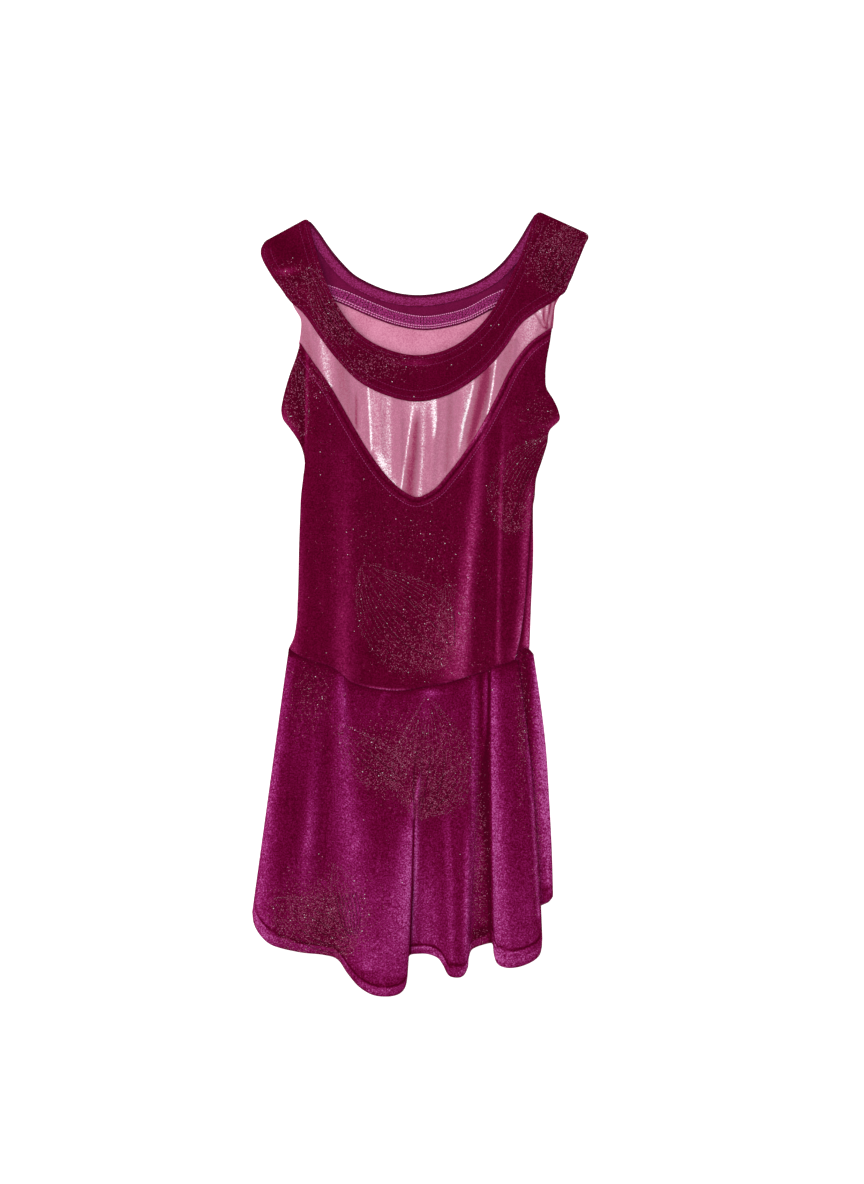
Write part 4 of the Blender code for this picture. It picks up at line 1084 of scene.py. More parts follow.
def place_seam_allowance(across, up):
    """The overlocked allowance of the seam between the back insert and the back yoke."""
    round_neck = ALLOWANCE_FROM + (ALLOWANCE_TO - ALLOWANCE_FROM) * across
    _, depth = between(BACK_OUTER, BACK_NECK, round_neck, up)
    share = (ALLOWANCE_STANDOFF + ALLOWANCE_WIDTH * up) / depth
    points, _ = between(BACK_OUTER, BACK_NECK, round_neck, share)
    height = BACK_TOP + LAYER_GAP + STRIP_WALL / 2 + ALLOWANCE_DOME * np.sin(np.pi * up)
    return with_height(points, height)


def new_mesh(name, points, faces):
    """A mesh from points in millimetres and faces that all have the same count of corners."""
    mesh = bpy.data.meshes.new(name)
    mesh.from_pydata((points * MM).tolist(), [], faces.tolist())
    mesh.shade_smooth()
    return mesh


def set_attribute(mesh, name, values):
    """Keep one number a point in the mesh, for its materials to read."""
    mesh.attributes.new(name, "FLOAT", "POINT").data.foreach_set("value", values.astype(np.float32))


def grid_normals(points):
    """Unit normals of a grid of points: the cross product of its two directions."""
    return unit(np.cross(np.gradient(points, axis=1), np.gradient(points, axis=0)))


def rim_of(values):
    """The border of a grid, once round: low row, right side, top row, left side."""
    return np.concatenate((values[0, :-1], values[:-1, -1], values[-1, :0:-1], values[:0:-1, 0]))


def outward(points):
    """Unit directions out of a grid's border, in the same order as rim_of."""
    across = unit(np.gradient(points, axis=1))
    up = unit(np.gradient(points, axis=0))
    out = np.zeros_like(points)
    out[0] -= up[0]
    out[-1] += up[-1]
    out[:, 0] -= across[:, 0]
    out[:, -1] += across[:, -1]
    return unit(rim_of(out))


def linked(name, data):
    """An object of a mesh, a camera or a light, put into the scene."""
    piece = bpy.data.objects.new(name, data)
    bpy.context.scene.collection.objects.link(piece)
    return piece


def copies(name, points, faces, material):
    """A piece of many small solids: each row of points takes the same faces."""
    offsets = np.arange(len(points))[:, None, None] * points.shape[1]
    mesh = new_mesh(name, points.reshape(-1, 3), (faces[None] + offsets).reshape(-1, 3))
    mesh.materials.append(material)
    return linked(name, mesh)


def shell(panel):
    """A closed thin shell: the placed grid moved half a wall out and in, joined by a round rim.

    Its upper side takes the first finish and its lower side the second. Where bare_where is
    given, the lower side takes the first too, and the upper side where the front leaves it bare.
    """
    across, up = np.meshgrid(even(panel.columns), even(panel.rows))
    middle = panel.place(across, up)
    half = grid_normals(middle) * panel.wall / 2
    rim = rim_of(middle) + outward(middle) * RIM_BULGE
    count = across.size
    numbers = np.arange(count).reshape(across.shape)
    quads = np.stack((numbers[:-1, :-1], numbers[:-1, 1:], numbers[1:, 1:], numbers[1:, :-1]), axis=-1)
    quads = quads.reshape(-1, 4)
    border = rim_of(numbers)
    following = np.roll(border, -1)
    ring = np.arange(len(border)) + 2 * count
    next_ring = np.roll(ring, -1)
    below = np.stack((border + count, following + count, next_ring, ring), axis=-1)
    above = np.stack((ring, next_ring, following, border), axis=-1)
    faces = np.concatenate((quads, quads[:, ::-1] + count, above, below))
    points = np.concatenate(((middle + half).reshape(-1, 3), (middle - half).reshape(-1, 3), rim))
    mesh = new_mesh(panel.name, points, faces)
    for finish in panel.finishes:
        mesh.materials.append(finish)
    slots = np.zeros(len(faces), dtype=np.int32)
    if panel.bare_where:
        centre = middle.reshape(-1, 3)[quads].mean(axis=1)
        slots[: len(quads)] = ~panel.bare_where(centre[:, 0], centre[:, 1])
    else:
        slots[len(quads) : 2 * len(quads)] = 1
    mesh.polygons.foreach_set("material_index", slots)
    for look, values in panel.looks(middle, across, up).items():
        # A wall's rim gets extra painted light, as a velvet edge seen edge-on would catch it
        around = rim_of(values) + (RIM_LIGHT if look == "nap" else 0.0)
        set_attribute(mesh, look, np.concatenate((values.ravel(), values.ravel(), around)))
    corners = np.stack((across, up), axis=-1)
    corners = np.concatenate((corners.reshape(-1, 2), corners.reshape(-1, 2), rim_of(corners)))
    mesh.uv_layers.new(name="cloth").data.foreach_set("uv", corners[faces.ravel()].ravel())
    return linked(panel.name, mesh)


def linear(channel):
    """One channel of an sRGB colour as the linear value that shaders use."""
    if channel <= 0.04045:
        return channel / 12.92
    return ((channel + 0.055) / 1.055) ** 2.4


def colour(hex_colour):
    """An sRGB hex colour as linear red, green, blue and alpha."""
    channels = [int(hex_colour[place : place + 2], 16) / 255 for place in (0, 2, 4)]
    return (*[linear(channel) for channel in channels], 1.0)


def add(tree, kind, values=None, links=None, stops=(), output=0, **settings):
    """Add a node with its settings, input values, links and colour stops; give one output of it."""
    node = tree.nodes.new("ShaderNode" + kind)
    for setting, value in settings.items():
        setattr(node, setting, value)
    for socket, value in (values or {}).items():
        node.inputs[socket].default_value = value
    for socket, source in (links or {}).items():
        tree.links.new(source, node.inputs[socket])
    for number, (place, hex_colour) in enumerate(stops):
        ramp = node.color_ramp.elements
        stop = ramp[number] if number < 2 else ramp.new(place)
        stop.position = place
        stop.color = colour(hex_colour)
    return node.outputs[output] if node.outputs else None


def new_material(name):
    """A material with an empty tree."""
    material = bpy.data.materials.new(name)
    material.use_nodes = True
    material.node_tree.nodes.clear()
    return material, material.node_tree


# Sizes in millimetres of the patterns in velvet, its tufts, brushed streaks, clouds and printed
# dust, in knit and in foil, and how strongly the streaks and clouds count
GRAIN_SIZE = 1.35
STREAK_WIDTH = 3.5
STREAK_LENGTH = 30.0
CLOUD_SIZE = 13.0
DUST_PITCH = 1.1
DUST_DOT = 0.38
STREAK_STRENGTH = 0.3
CLOUD_STRENGTH = 0.3
WALE_PITCH = 1.1
LOOP_SIZE = 1.3
TONE_SIZE = 26.0
FOIL_GRAIN = 0.75
SAND_SIZE = 1.6
PULL_WIDTH = 3.0
PULL_LENGTH = 50.0
TWIST_SIZE = 0.6


def velvet(name, stops, grain_strength):
    """Stretch velvet: warp-knitted with a cut pile, then brushed and printed with glitter dust.

    The eye sees a deep matte wine, and a lighter magenta painted where the pile would catch the light, as the
    painted light attribute gives it; a speckle of tufts that is strongest where it is painted lighter, soft
    brushed streaks, and dots of dusty rose glitter. The tufts are drawn twice as coarse as real ones, so that
    they show.
    """
    material, tree = new_material(name)
    place = add(tree, "TexCoord", output="Object")
    nap = add(tree, "Attribute", output="Fac", attribute_name="nap")
    dust = add(tree, "Attribute", output="Fac", attribute_name="dust")
    grain = add(tree, "TexNoise", {"Scale": 1 / (GRAIN_SIZE * MM), "Detail": 3.0, "Roughness": 0.7},
                {"Vector": place})
    stretched = add(tree, "Mapping", {"Scale": (1.0, STREAK_WIDTH / STREAK_LENGTH, 1.0)}, {"Vector": place})
    streak = add(tree, "TexNoise", {"Scale": 1 / (STREAK_WIDTH * MM), "Detail": 2.0}, {"Vector": stretched})
    cloud = add(tree, "TexNoise", {"Scale": 1 / (CLOUD_SIZE * MM), "Detail": 3.0}, {"Vector": place})
    tufts = add(tree, "Math", {1: grain_strength}, {0: grain}, operation="MULTIPLY")
    for layer, strength in ((streak, STREAK_STRENGTH), (cloud, CLOUD_STRENGTH)):
        tufts = add(tree, "Math", {1: strength}, {0: layer, 2: tufts}, operation="MULTIPLY_ADD")
    middle = (grain_strength + STREAK_STRENGTH + CLOUD_STRENGTH) / 2
    tufts = add(tree, "Math", {1: middle}, {0: tufts}, operation="SUBTRACT")
    # Painted light: the attribute's light and shade moves the colour along the ramp, and the tufts speckle
    # more where it is lighter
    weight = add(tree, "Math", {1: 0.6, 2: 0.4}, {0: nap}, operation="MULTIPLY_ADD")
    lean = add(tree, "Math", None, {0: tufts, 1: weight, 2: nap}, operation="MULTIPLY_ADD")
    pile = add(tree, "ValToRGB", None, {"Fac": lean}, stops)
    away = add(tree, "TexVoronoi", {"Scale": 1 / (DUST_PITCH * MM)}, {"Vector": place})
    draw = add(tree, "SeparateColor", None, {"Color": away.node.outputs["Color"]})
    small = add(tree, "Math", {1: DUST_DOT}, {0: away}, operation="LESS_THAN")
    chosen = add(tree, "Math", None, {0: draw, 1: dust}, operation="LESS_THAN")
    dotted = add(tree, "Math", None, {0: small, 1: chosen}, operation="MULTIPLY")
    shade = add(tree, "ValToRGB", None, {"Fac": draw.node.outputs["Green"]},
                [(0.0, "84304e"), (0.7, "984464"), (1.0, "bc7090")])
    mixed = add(tree, "MixRGB", None, {"Fac": dotted, "Color1": pile, "Color2": shade})
    bump = add(tree, "Bump", {"Strength": 0.4, "Distance": 0.4 * MM}, {"Height": grain})
    cloth = add(tree, "BsdfPrincipled",
                {"Roughness": 0.9, "Specular IOR Level": 0.0, "Sheen Weight": 0.06, "Sheen Roughness": 0.35,
                 "Sheen Tint": colour("c83090")},
                {"Base Color": mixed, "Normal": bump})
    add(tree, "OutputMaterial", None, {"Surface": cloth})
    return material


def knit(name, dark, light, edge_colour, texture):
    """The plain reverse of a warp knit: matte, in fine upright wales crossed by loops.

    The eye sees a flat colour with a fine speckle and a slow change of tone. The wales are
    drawn twice as coarse as real ones, so that they show.
    """
    material, tree = new_material(name)
    place = add(tree, "TexCoord", output="Object")
    edge = add(tree, "Attribute", output="Fac", attribute_name="edge")
    wales = add(tree, "TexWave",
                {"Scale": 0.314 / (WALE_PITCH * MM), "Distortion": 1.2, "Detail": 1.0, "Detail Scale": 2.0},
                {"Vector": place}, output="Fac", bands_direction="X")
    loops = add(tree, "TexNoise", {"Scale": 1 / (LOOP_SIZE * MM), "Detail": 2.0}, {"Vector": place})
    cloud = add(tree, "TexNoise", {"Scale": 1 / (TONE_SIZE * MM), "Detail": 2.0}, {"Vector": place})
    tone = add(tree, "Math", {1: 0.3 * texture}, {0: wales, 2: cloud}, operation="MULTIPLY_ADD")
    tone = add(tree, "Math", {1: 1.6 * texture}, {0: loops, 2: tone}, operation="MULTIPLY_ADD")
    tone = add(tree, "Math", {1: 0.95 * texture}, {0: tone}, operation="SUBTRACT")
    yarn = add(tree, "ValToRGB", None, {"Fac": tone}, [(0.1, dark), (0.9, light)])
    rim = add(tree, "MixRGB", {"Color2": colour(edge_colour)}, {"Fac": edge, "Color1": yarn})
    bump = add(tree, "Bump", {"Strength": 0.35, "Distance": 0.3 * MM}, {"Height": tone})
    cloth = add(tree, "BsdfPrincipled", {"Roughness": 0.85, "Specular IOR Level": 0.03},
                {"Base Color": rim, "Normal": bump})
    add(tree, "OutputMaterial", None, {"Surface": cloth})
    return material


def overlocked(name, dark, light, pitch):
    """A knit edge with a raised mesh: a honeycomb of light cells in dark lines.

    The eye sees a coarse mesh. Its cells are as large as the loops of thread on an overlocked
    edge, and drawn a little coarser than real ones on a plain turned edge.
    """
    material, tree = new_material(name)
    place = add(tree, "TexCoord", output="Object")
    cells = add(tree, "TexVoronoi", {"Scale": 1 / (pitch * MM), "Randomness": 0.5}, {"Vector": place})
    mesh = add(tree, "ValToRGB", None, {"Fac": cells}, [(0.1, light), (0.6, dark)])
    bump = add(tree, "Bump", {"Strength": 0.5, "Distance": 0.4 * MM}, {"Height": cells})
    cloth = add(tree, "BsdfPrincipled", {"Roughness": 0.7, "Specular IOR Level": 0.05},
                {"Base Color": mesh, "Normal": bump})
    add(tree, "OutputMaterial", None, {"Surface": cloth})
    return material


def foil_spandex():
    """Pink spandex knit printed with a pearl foil of fine grains.

    The eye sees satin pink, white glints painted along the drape ridges, dark rose shade painted between
    them, and a sandy sparkle painted grain by grain, as if each grain of foil turned its own way.
    """
    material, tree = new_material("foil_printed_spandex")
    place = add(tree, "TexCoord", output="Object")
    streak = add(tree, "Attribute", output="Fac", attribute_name="streak")
    sandy = add(tree, "Attribute", output="Fac", attribute_name="sparkle")
    grains = add(tree, "TexVoronoi", {"Scale": 1 / (FOIL_GRAIN * MM)}, {"Vector": place}, output="Color")
    draw = add(tree, "SeparateColor", None, {"Color": grains})
    sand = add(tree, "TexNoise", {"Scale": 1 / (SAND_SIZE * MM), "Detail": 2.0}, {"Vector": place})
    stretched = add(tree, "Mapping", {"Scale": (1.0, PULL_WIDTH / PULL_LENGTH, 1.0)}, {"Vector": place})
    pull = add(tree, "TexNoise", {"Scale": 1 / (PULL_WIDTH * MM), "Detail": 2.0}, {"Vector": stretched})
    # The streak attribute is painted glint and painted shade; the level it gives picks the foil's colour
    level = add(tree, "Math", {1: 0.5, 2: 0.5}, {0: streak}, operation="MULTIPLY_ADD")
    # Each grain's own painted sparkle, strongest where the painted glow is soft
    sparkle = add(tree, "Math", {1: 0.5}, {0: draw}, operation="SUBTRACT")
    level = add(tree, "Math", None, {0: sparkle, 1: sandy, 2: level}, operation="MULTIPLY_ADD")
    ripple = add(tree, "Math", {1: 0.18, 2: -0.09}, {0: pull}, operation="MULTIPLY_ADD")
    level = add(tree, "Math", None, {0: level, 1: ripple}, operation="ADD")
    # From painted shade in dark rose, through the foil's pink, to painted white glints
    foil = add(tree, "ValToRGB", None, {"Fac": level},
               [(0.0, "801c46"), (0.1, "902a54"), (0.2, "a04868"), (0.36, "a8687f"), (0.5, "b86a8a"),
                (0.66, "c8889f"), (0.8, "dcb4c6"), (0.92, "fff4fa")])
    heights = add(tree, "Math", {1: 0.6}, {0: draw.node.outputs["Green"], 2: sand}, operation="MULTIPLY_ADD")
    bump = add(tree, "Bump", {"Strength": 0.4, "Distance": 0.25 * MM}, {"Height": heights})
    cloth = add(tree, "BsdfPrincipled", {"Roughness": 0.45, "Specular IOR Level": 0.1},
                {"Base Color": foil, "Normal": bump})
    add(tree, "OutputMaterial", None, {"Surface": cloth})
    return material


def thread_material(name, hex_colour, dark):
    """Polyester sewing thread, spun and dyed: a little gloss on a fine twist."""
    material, tree = new_material(name)
    place = add(tree, "TexCoord", output="Object")
    twist = add(tree, "TexNoise", {"Scale": 1 / (TWIST_SIZE * MM), "Detail": 1.0}, {"Vector": place})
    tone = add(tree, "ValToRGB", None, {"Fac": twist}, [(0.3, dark), (0.7, hex_colour)])
    thread = add(tree, "BsdfPrincipled", {"Roughness": 0.6, "Specular IOR Level": 0.08}, {"Base Color": tone})
    add(tree, "OutputMaterial", None, {"Surface": thread})
    return material


def glitter_material():
    """Polyester glitter, cut from metallised film: dusty rose dots of varied tone, and a few painted
    near-white as flashes of silver.
    """
    material, tree = new_material("glitter_film")
    flash = add(tree, "Attribute", output="Fac", attribute_name="flash")
    # Dusty rose tones of the glitter, up to a near-white painted flash
    tone = add(tree, "ValToRGB", None, {"Fac": flash},
               [(0.0, "84284e"), (0.4, "a44c72"), (0.8, "d28cac"), (1.0, "fff0f6")])
    film = add(tree, "BsdfPrincipled", {"Roughness": 0.4, "Specular IOR Level": 0.02}, {"Base Color": tone})
    add(tree, "OutputMaterial", None, {"Surface": film})
    return material


def floor_material():
    """A white acrylic table that is lit from below: even, matte, and with next to no shadow on it."""
    material, tree = new_material("lit_white_table")
    acrylic = add(tree, "BsdfPrincipled",
                  {"Base Color": colour("e0e0e0"), "Roughness": 0.95, "Specular IOR Level": 0.0,
                   "Emission Color": colour("ffffff"), "Emission Strength": 0.8})
    add(tree, "OutputMaterial", None, {"Surface": acrylic})
    return material


def pile_looks(nap, dust):
    """The looks of a velvet panel: how much painted light and shade its pile has, and how dense its glitter
    dust is.
    """
    return {"nap": np.clip(nap, 0.0, 1.0), "dust": dust}


def bodice_looks(middle, across, up):
    """The bodice's pile, lit along the rolled V edge and the waist edge, dark in the groove."""
    x, y, _ = np.moveaxis(middle, -1, 0)
    nap = BODICE_PAINTED_LIGHT_BASE + banded(x, y, BODICE_PAINTED_LIGHT) + spotted(x, y, BODICE_PAINTED_SPOTS)
    from_v = distance_to(x, y, V_EDGE)
    lit = np.clip((x - V_LIT_FROM) / V_LIT_OVER, V_LIT_LEAST, 1.0)
    nap += lit * beside(from_v, V_EDGE_LIGHT) + beside(from_v, V_SHADE)
    waist_light = np.interp(x, column(WAIST_LIGHT, "across"), column(WAIST_LIGHT, "light"))
    nap += waist_light * bell(y - waist_up(x) + WAIST_OVERLAP - WAIST_LIGHT_IN, WAIST_LIGHT_REACH)
    return pile_looks(nap, dusted(x, y))


def skirt_looks(middle, across, up):
    """The skirt's pile, in shade under the waist seam and along the pressed hem line."""
    x, y, _ = np.moveaxis(middle, -1, 0)
    dust = dusted(x, y)
    nap = SKIRT_PAINTED_LIGHT_BASE + banded(x, y, SKIRT_PAINTED_LIGHT) + spotted(x, y, SKIRT_PAINTED_SPOTS) - 0.5 * DUST_SHADE * dust
    nap += beside(waist_up(x) - y, WAIST_SHADE)
    nap += along_hem(x, y - across_ribs("hem_up", across), HEM_LIGHT)
    return pile_looks(nap, dust)


def yoke_looks(middle, across, up):
    """The yoke's pile, faintly lit along its topstitched edges."""
    x, y, _ = np.moveaxis(middle, -1, 0)
    dust = dusted(x, y)
    nap = YOKE_PAINTED_LIGHT_BASE + spotted(x, y, YOKE_PAINTED_SPOTS) - DUST_SHADE * dust
    _, depth = between(FRONT_OUTER, FRONT_NECK, across, up)
    nap += beside(depth * up, YOKE_EDGE_LIGHT) + beside(depth * (1 - up), YOKE_EDGE_LIGHT)
    return pile_looks(nap, dust)


def back_bodice_looks(middle, across, up):
    """The back bodice's painted light and shade, marked only where it shows beside the front."""
    x, y, _ = np.moveaxis(middle, -1, 0)
    return pile_looks(BACK_BODICE_PAINTED_LIGHT_BASE + banded(x, y, BACK_BODICE_PAINTED_LIGHT), dusted(x, y))


def back_skirt_looks(middle, across, up):
    """The back skirt's painted light and shade, marked only where it shows beside the front."""
    x, y, _ = np.moveaxis(middle, -1, 0)
    nap = BACK_SKIRT_PAINTED_LIGHT_BASE + banded(x, y, BACK_SKIRT_PAINTED_LIGHT) + spotted(x, y, BACK_SKIRT_PAINTED_SPOTS)
    return pile_looks(nap, dusted(x, y))


def foil_looks(middle, across, up):
    """The foil's painted glints and painted shade, from its streaks, and how strong its painted sparkle is:
    most so where it glows softly.
    """
    streak = np.clip(banded(middle[..., 0], middle[..., 1], FOIL_PAINTED_GLINTS), -1.0, 1.0)
    return {"streak": streak, "sparkle": SANDY_LEAST + SANDY_GLOW * bell(streak - SANDY_AT, SANDY_REACH)}


def inside_looks(middle, across, up):
    """The wrong side is plain, but for the velvet that wraps over the neck edge."""
    _, depth = between(BACK_OUTER, BACK_NECK, across, up)
    from_neck = depth * (1 - up)
    edge = np.clip((WRAP - from_neck) / WRAP_FADE, 0.0, 1.0)
    return {"edge": edge, "nap": np.full(across.shape, YOKE_PAINTED_LIGHT_BASE), "dust": np.zeros_like(across)}


def plain_looks(middle, across, up):
    """An even surface."""
    return {"edge": np.zeros_like(across)}


# A stitch is a capsule of so many sides whose tips take up a share of its length. It lies so far
# up from the cloth, as a share of its thickness
THREAD_SIDES = 6
TIP_SHARE = 0.18
THREAD_RISE = 0.3


def capsules(name, starts, ends, normals, thickness, material):
    """Small round-ended threads: a point, two rings and a point, along each run."""
    run = ends - starts
    forward = unit(run)
    sideways = unit(np.cross(normals, forward))
    upward = np.cross(forward, sideways)
    turns = np.linspace(0.0, 2 * np.pi, THREAD_SIDES, endpoint=False)
    ring = np.cos(turns)[None, :, None] * sideways[:, None] + np.sin(turns)[None, :, None] * upward[:, None]
    ring = ring * thickness / 2
    near_ring = (starts + run * TIP_SHARE)[:, None] + ring
    far_ring = (starts + run * (1 - TIP_SHARE))[:, None] + ring
    points = np.concatenate((starts[:, None], near_ring, far_ring, ends[:, None]), axis=1)
    near = np.arange(THREAD_SIDES) + 1
    near_next = np.roll(near, -1)
    far = near + THREAD_SIDES
    far_next = near_next + THREAD_SIDES
    start_cap = np.stack((np.zeros_like(near), near_next, near), axis=1)
    end_cap = np.stack((np.full_like(near, 2 * THREAD_SIDES + 1), far, far_next), axis=1)
    first = np.stack((near, near_next, far_next), axis=1)
    second = np.stack((near, far_next, far), axis=1)
    return copies(name, points, np.concatenate((start_cap, first, second, end_cap)), material)


def on_panel(place, wall, across, up):
    """Points on a panel's upper side and the normals there, at shares across and up."""
    step = 0.002
    here = place(across, up)
    aside = place(np.clip(across + step, 0, 1), up) - place(np.clip(across - step, 0, 1), up)
    above = place(across, np.clip(up + step, 0, 1)) - place(across, np.clip(up - step, 0, 1))
    normals = unit(np.cross(aside, above))
    return here + normals * wall / 2, normals


# How the shares of a place are found: the coarse grid, and how many and how long the steps are
COARSE_COLUMNS = 70
COARSE_ROWS = 60
NEWTON_STEPS = 5
NEWTON_REACH = 0.02


def shares_at(place, x, y):
    """The shares at which a panel has given places: the nearest of a coarse grid, then Newton's steps."""
    across, up = np.meshgrid(even(COARSE_COLUMNS), even(COARSE_ROWS))
    coarse = place(across, up)
    across = across.ravel()
    up = up.ravel()
    best = np.empty(len(x), dtype=int)
    for start in range(0, len(x), PLACE_BATCH):
        part = slice(start, start + PLACE_BATCH)
        apart = (coarse[..., 0].ravel() - x[part, None]) ** 2 + (coarse[..., 1].ravel() - y[part, None]) ** 2
        best[part] = apart.argmin(axis=1)
    across = across[best]
    up = up[best]
    step = 0.001
    for _ in range(NEWTON_STEPS):
        here = place(across, up)
        by_across = (place(across + step, up) - here) / step
        by_up = (place(across, up + step) - here) / step
        gap_x = x - here[:, 0]
        gap_y = y - here[:, 1]
        scale = by_across[:, 0] * by_up[:, 1] - by_up[:, 0] * by_across[:, 1]
        scale = np.where(np.abs(scale) < 1.0, 1.0, scale)
        change_across = (gap_x * by_up[:, 1] - gap_y * by_up[:, 0]) / scale
        change_up = (gap_y * by_across[:, 0] - gap_x * by_across[:, 1]) / scale
        across = np.clip(across + np.clip(change_across, -NEWTON_REACH, NEWTON_REACH), 0.0, 1.0 - step)
        up = np.clip(up + np.clip(change_up, -NEWTON_REACH, NEWTON_REACH), 0.0, 1.0 - step)
    return across, up


def inside(x, y, border):
    """Whether each place lies inside a closed line: an odd count of crossings to its right."""
    odd = np.zeros(len(x), dtype=bool)
    for start, end in zip(border, np.roll(border, -1, axis=0)):
        if start[1] == end[1]:
            continue
        crosses = (start[1] > y) != (end[1] > y)
        at = start[0] + (y - start[1]) * (end[0] - start[0]) / (end[1] - start[1])
        odd ^= crosses & (x < at)
    return odd


# Steps along each side of a panel's outline
BORDER_STEPS = 90


def border_of(place):
    """The outline of a panel, seen from above."""
    across, up = np.meshgrid(even(BORDER_STEPS), even(BORDER_STEPS))
    return rim_of(place(across, up))[:, :2]


def spaced(points, pitch):
    """Even shares along a line of points that lie about a pitch apart."""
    lengths = np.concatenate(([0.0], np.cumsum(np.linalg.norm(np.diff(points, axis=0), axis=1))))
    count = int(lengths[-1] / pitch)
    at = (np.arange(count) + 0.5) / count * lengths[-1]
    return np.stack([np.interp(at, lengths, points[:, axis]) for axis in range(points.shape[1])], axis=1)


# Stitches: their pitch and length, how many steps of a line stay free at its ends, and how many
# there are along the allowance
STITCH_PITCH = 2.7
STITCH_LENGTH = 2.1
CLEAR_OF_ENDS = 6
CLEAR_OF_V_ENDS = 8
OVERLOCK_STITCHES = 66
FLATLOCK_STITCHES = 96


def stitch_line(path, place, wall):
    """Starts, ends and normals of stitches along a path seen from above, laid on a panel."""
    middles = spaced(path, STITCH_PITCH)
    half = unit(np.gradient(middles, axis=0)) * STITCH_LENGTH / 2
    starts, normals = on_panel(place, wall, *shares_at(place, *(middles - half).T))
    ends, _ = on_panel(place, wall, *shares_at(place, *(middles + half).T))
    return starts, ends, normals


# Glitter dots: how far apart along a line, their half width and how much more some have, how bright they are,
# and how many are painted near-white as flashes and are larger
DOT_PITCH = 1.15
DOT_SIZE = 0.21
DOT_SIZE_MORE = 0.5
FLASH = 0.14
FLASH_MORE = 0.6
FLASH_ON_LINES = 0.13
BRIGHT_SHARE = 0.014
BRIGHT_SIZE = 0.36
BRIGHT_SIZE_MORE = 0.22

# A leaf's dots. Veins begin and end at shares of its length. A line is sparser and less exact
# towards the foot, and wavers. Loose dots lie along the margins and in a spray over the leaf
VEIN_STARTS = (0.2, 0.5)
VEIN_ENDS = (0.72, 0.97)
FOOT_DENSITY = 0.5
TIP_DENSER = 0.45
WAVER = 0.25
WAVES = 21.0
TIP_SPREAD = 0.08
FOOT_SPREAD = 0.7
MARGIN_DOTS_PER_MM = 1.4
MARGIN_SPREAD = 1.8
SPRAY_ALONG = (1.1, 2.2)
SPRAY_ASIDE = (1.3, 2.0)
SPRAY_REACH = 0.6
SPRAY_TO_RIGHT = 0.6


def leaf_dots(leaf, rng):
    """One leaf: dotted margins that scatter towards its foot, veins in its outer half, loose dots."""
    groups = []
    for hand in (-1.0, 1.0):
        for number in range(leaf.veins + 1):
            start, end = (0.0, 1.0) if number == 0 else (rng.uniform(*VEIN_STARTS), rng.uniform(*VEIN_ENDS))
            t = np.arange(start, end, DOT_PITCH / leaf.length)
            t = t[rng.random(len(t)) < FOOT_DENSITY + TIP_DENSER * t]
            points, out = midrib(leaf, t)
            aside = hand * half_width(leaf, t) * (1.0 - number / (leaf.veins + 0.6))
            spread = TIP_SPREAD + FOOT_SPREAD * (1 - t) ** 3
            aside += WAVER * np.sin(t * WAVES + number) + rng.normal(0.0, spread)
            groups.append(points + out * aside[:, None])
        t = rng.random(int(leaf.length * MARGIN_DOTS_PER_MM))
        points, out = midrib(leaf, t)
        aside = hand * half_width(leaf, t) + rng.normal(0.0, MARGIN_SPREAD, len(t))
        groups.append(points + out * aside[:, None])
    t = rng.beta(*SPRAY_ALONG, leaf.dots)
    points, out = midrib(leaf, t)
    aside = rng.beta(*SPRAY_ASIDE, leaf.dots) * np.where(rng.random(leaf.dots) < SPRAY_TO_RIGHT, -1.0, 1.0)
    return np.concatenate(groups), points + out * (aside * leaf.width * SPRAY_REACH)[:, None]


# Bare lines run over half of a leaf from near its foot, in short runs
BARE_RUN = 1.6
BARE_FROM = 0.08
BARE_LENGTH = 0.5
BARE_REACH = 0.8


def bare_lines():
    """Starts and ends of short runs along each leaf's bare lines, where no glitter was printed."""
    runs = []
    for leaf in LEAVES:
        t = even(int(leaf.length * BARE_LENGTH / BARE_RUN)) * BARE_LENGTH + BARE_FROM
        for number in range(leaf.bare):
            share = BARE_REACH * (2 * (number + 1) / (leaf.bare + 1) - 1)
            points, out = midrib(leaf, t)
            points = points + out * (share * half_width(leaf, t))[:, None]
            runs.append(np.stack((points[:-1], points[1:]), axis=1))
    return np.concatenate(runs)


# Loose glitter round the leaves: the middle of each scatter, its reach, and its count
SCATTERS = table("name across up reach_across reach_up count", [
    ("above the front leaf", -14, 64, 56, 26, 260),
    ("below the front leaf", 6, -58, 42, 14, 160),
    ("front right", 62, 10, 26, 60, 120),
    ("right chest", 104, 176, 15, 22, 120),
    ("left chest", -94, 212, 17, 20, 160),
    ("left of the V", -92, 150, 18, 40, 60),
    ("yoke, left low", -46, 228, 34, 15, 150),
    ("yoke, right", 60, 242, 50, 30, 60),
    ("left strap", -124, 318, 20, 18, 60),
    ("right strap", 132, 334, 24, 26, 60),
    ("skirt, left", -106, -90, 20, 30, 170),
    ("skirt, middle", -10, -150, 44, 46, 320),
    ("skirt, right seam", 97, -122, 6, 48, 130),
    ("skirt, low left", -98, -300, 38, 30, 260),
    ("skirt, everywhere", -20, -200, 90, 100, 220),
    ("bodice, everywhere", -10, 60, 80, 110, 260),
    ("back strip", 114, -190, 8, 70, 90),
])
SCATTER_SPREAD = 0.6


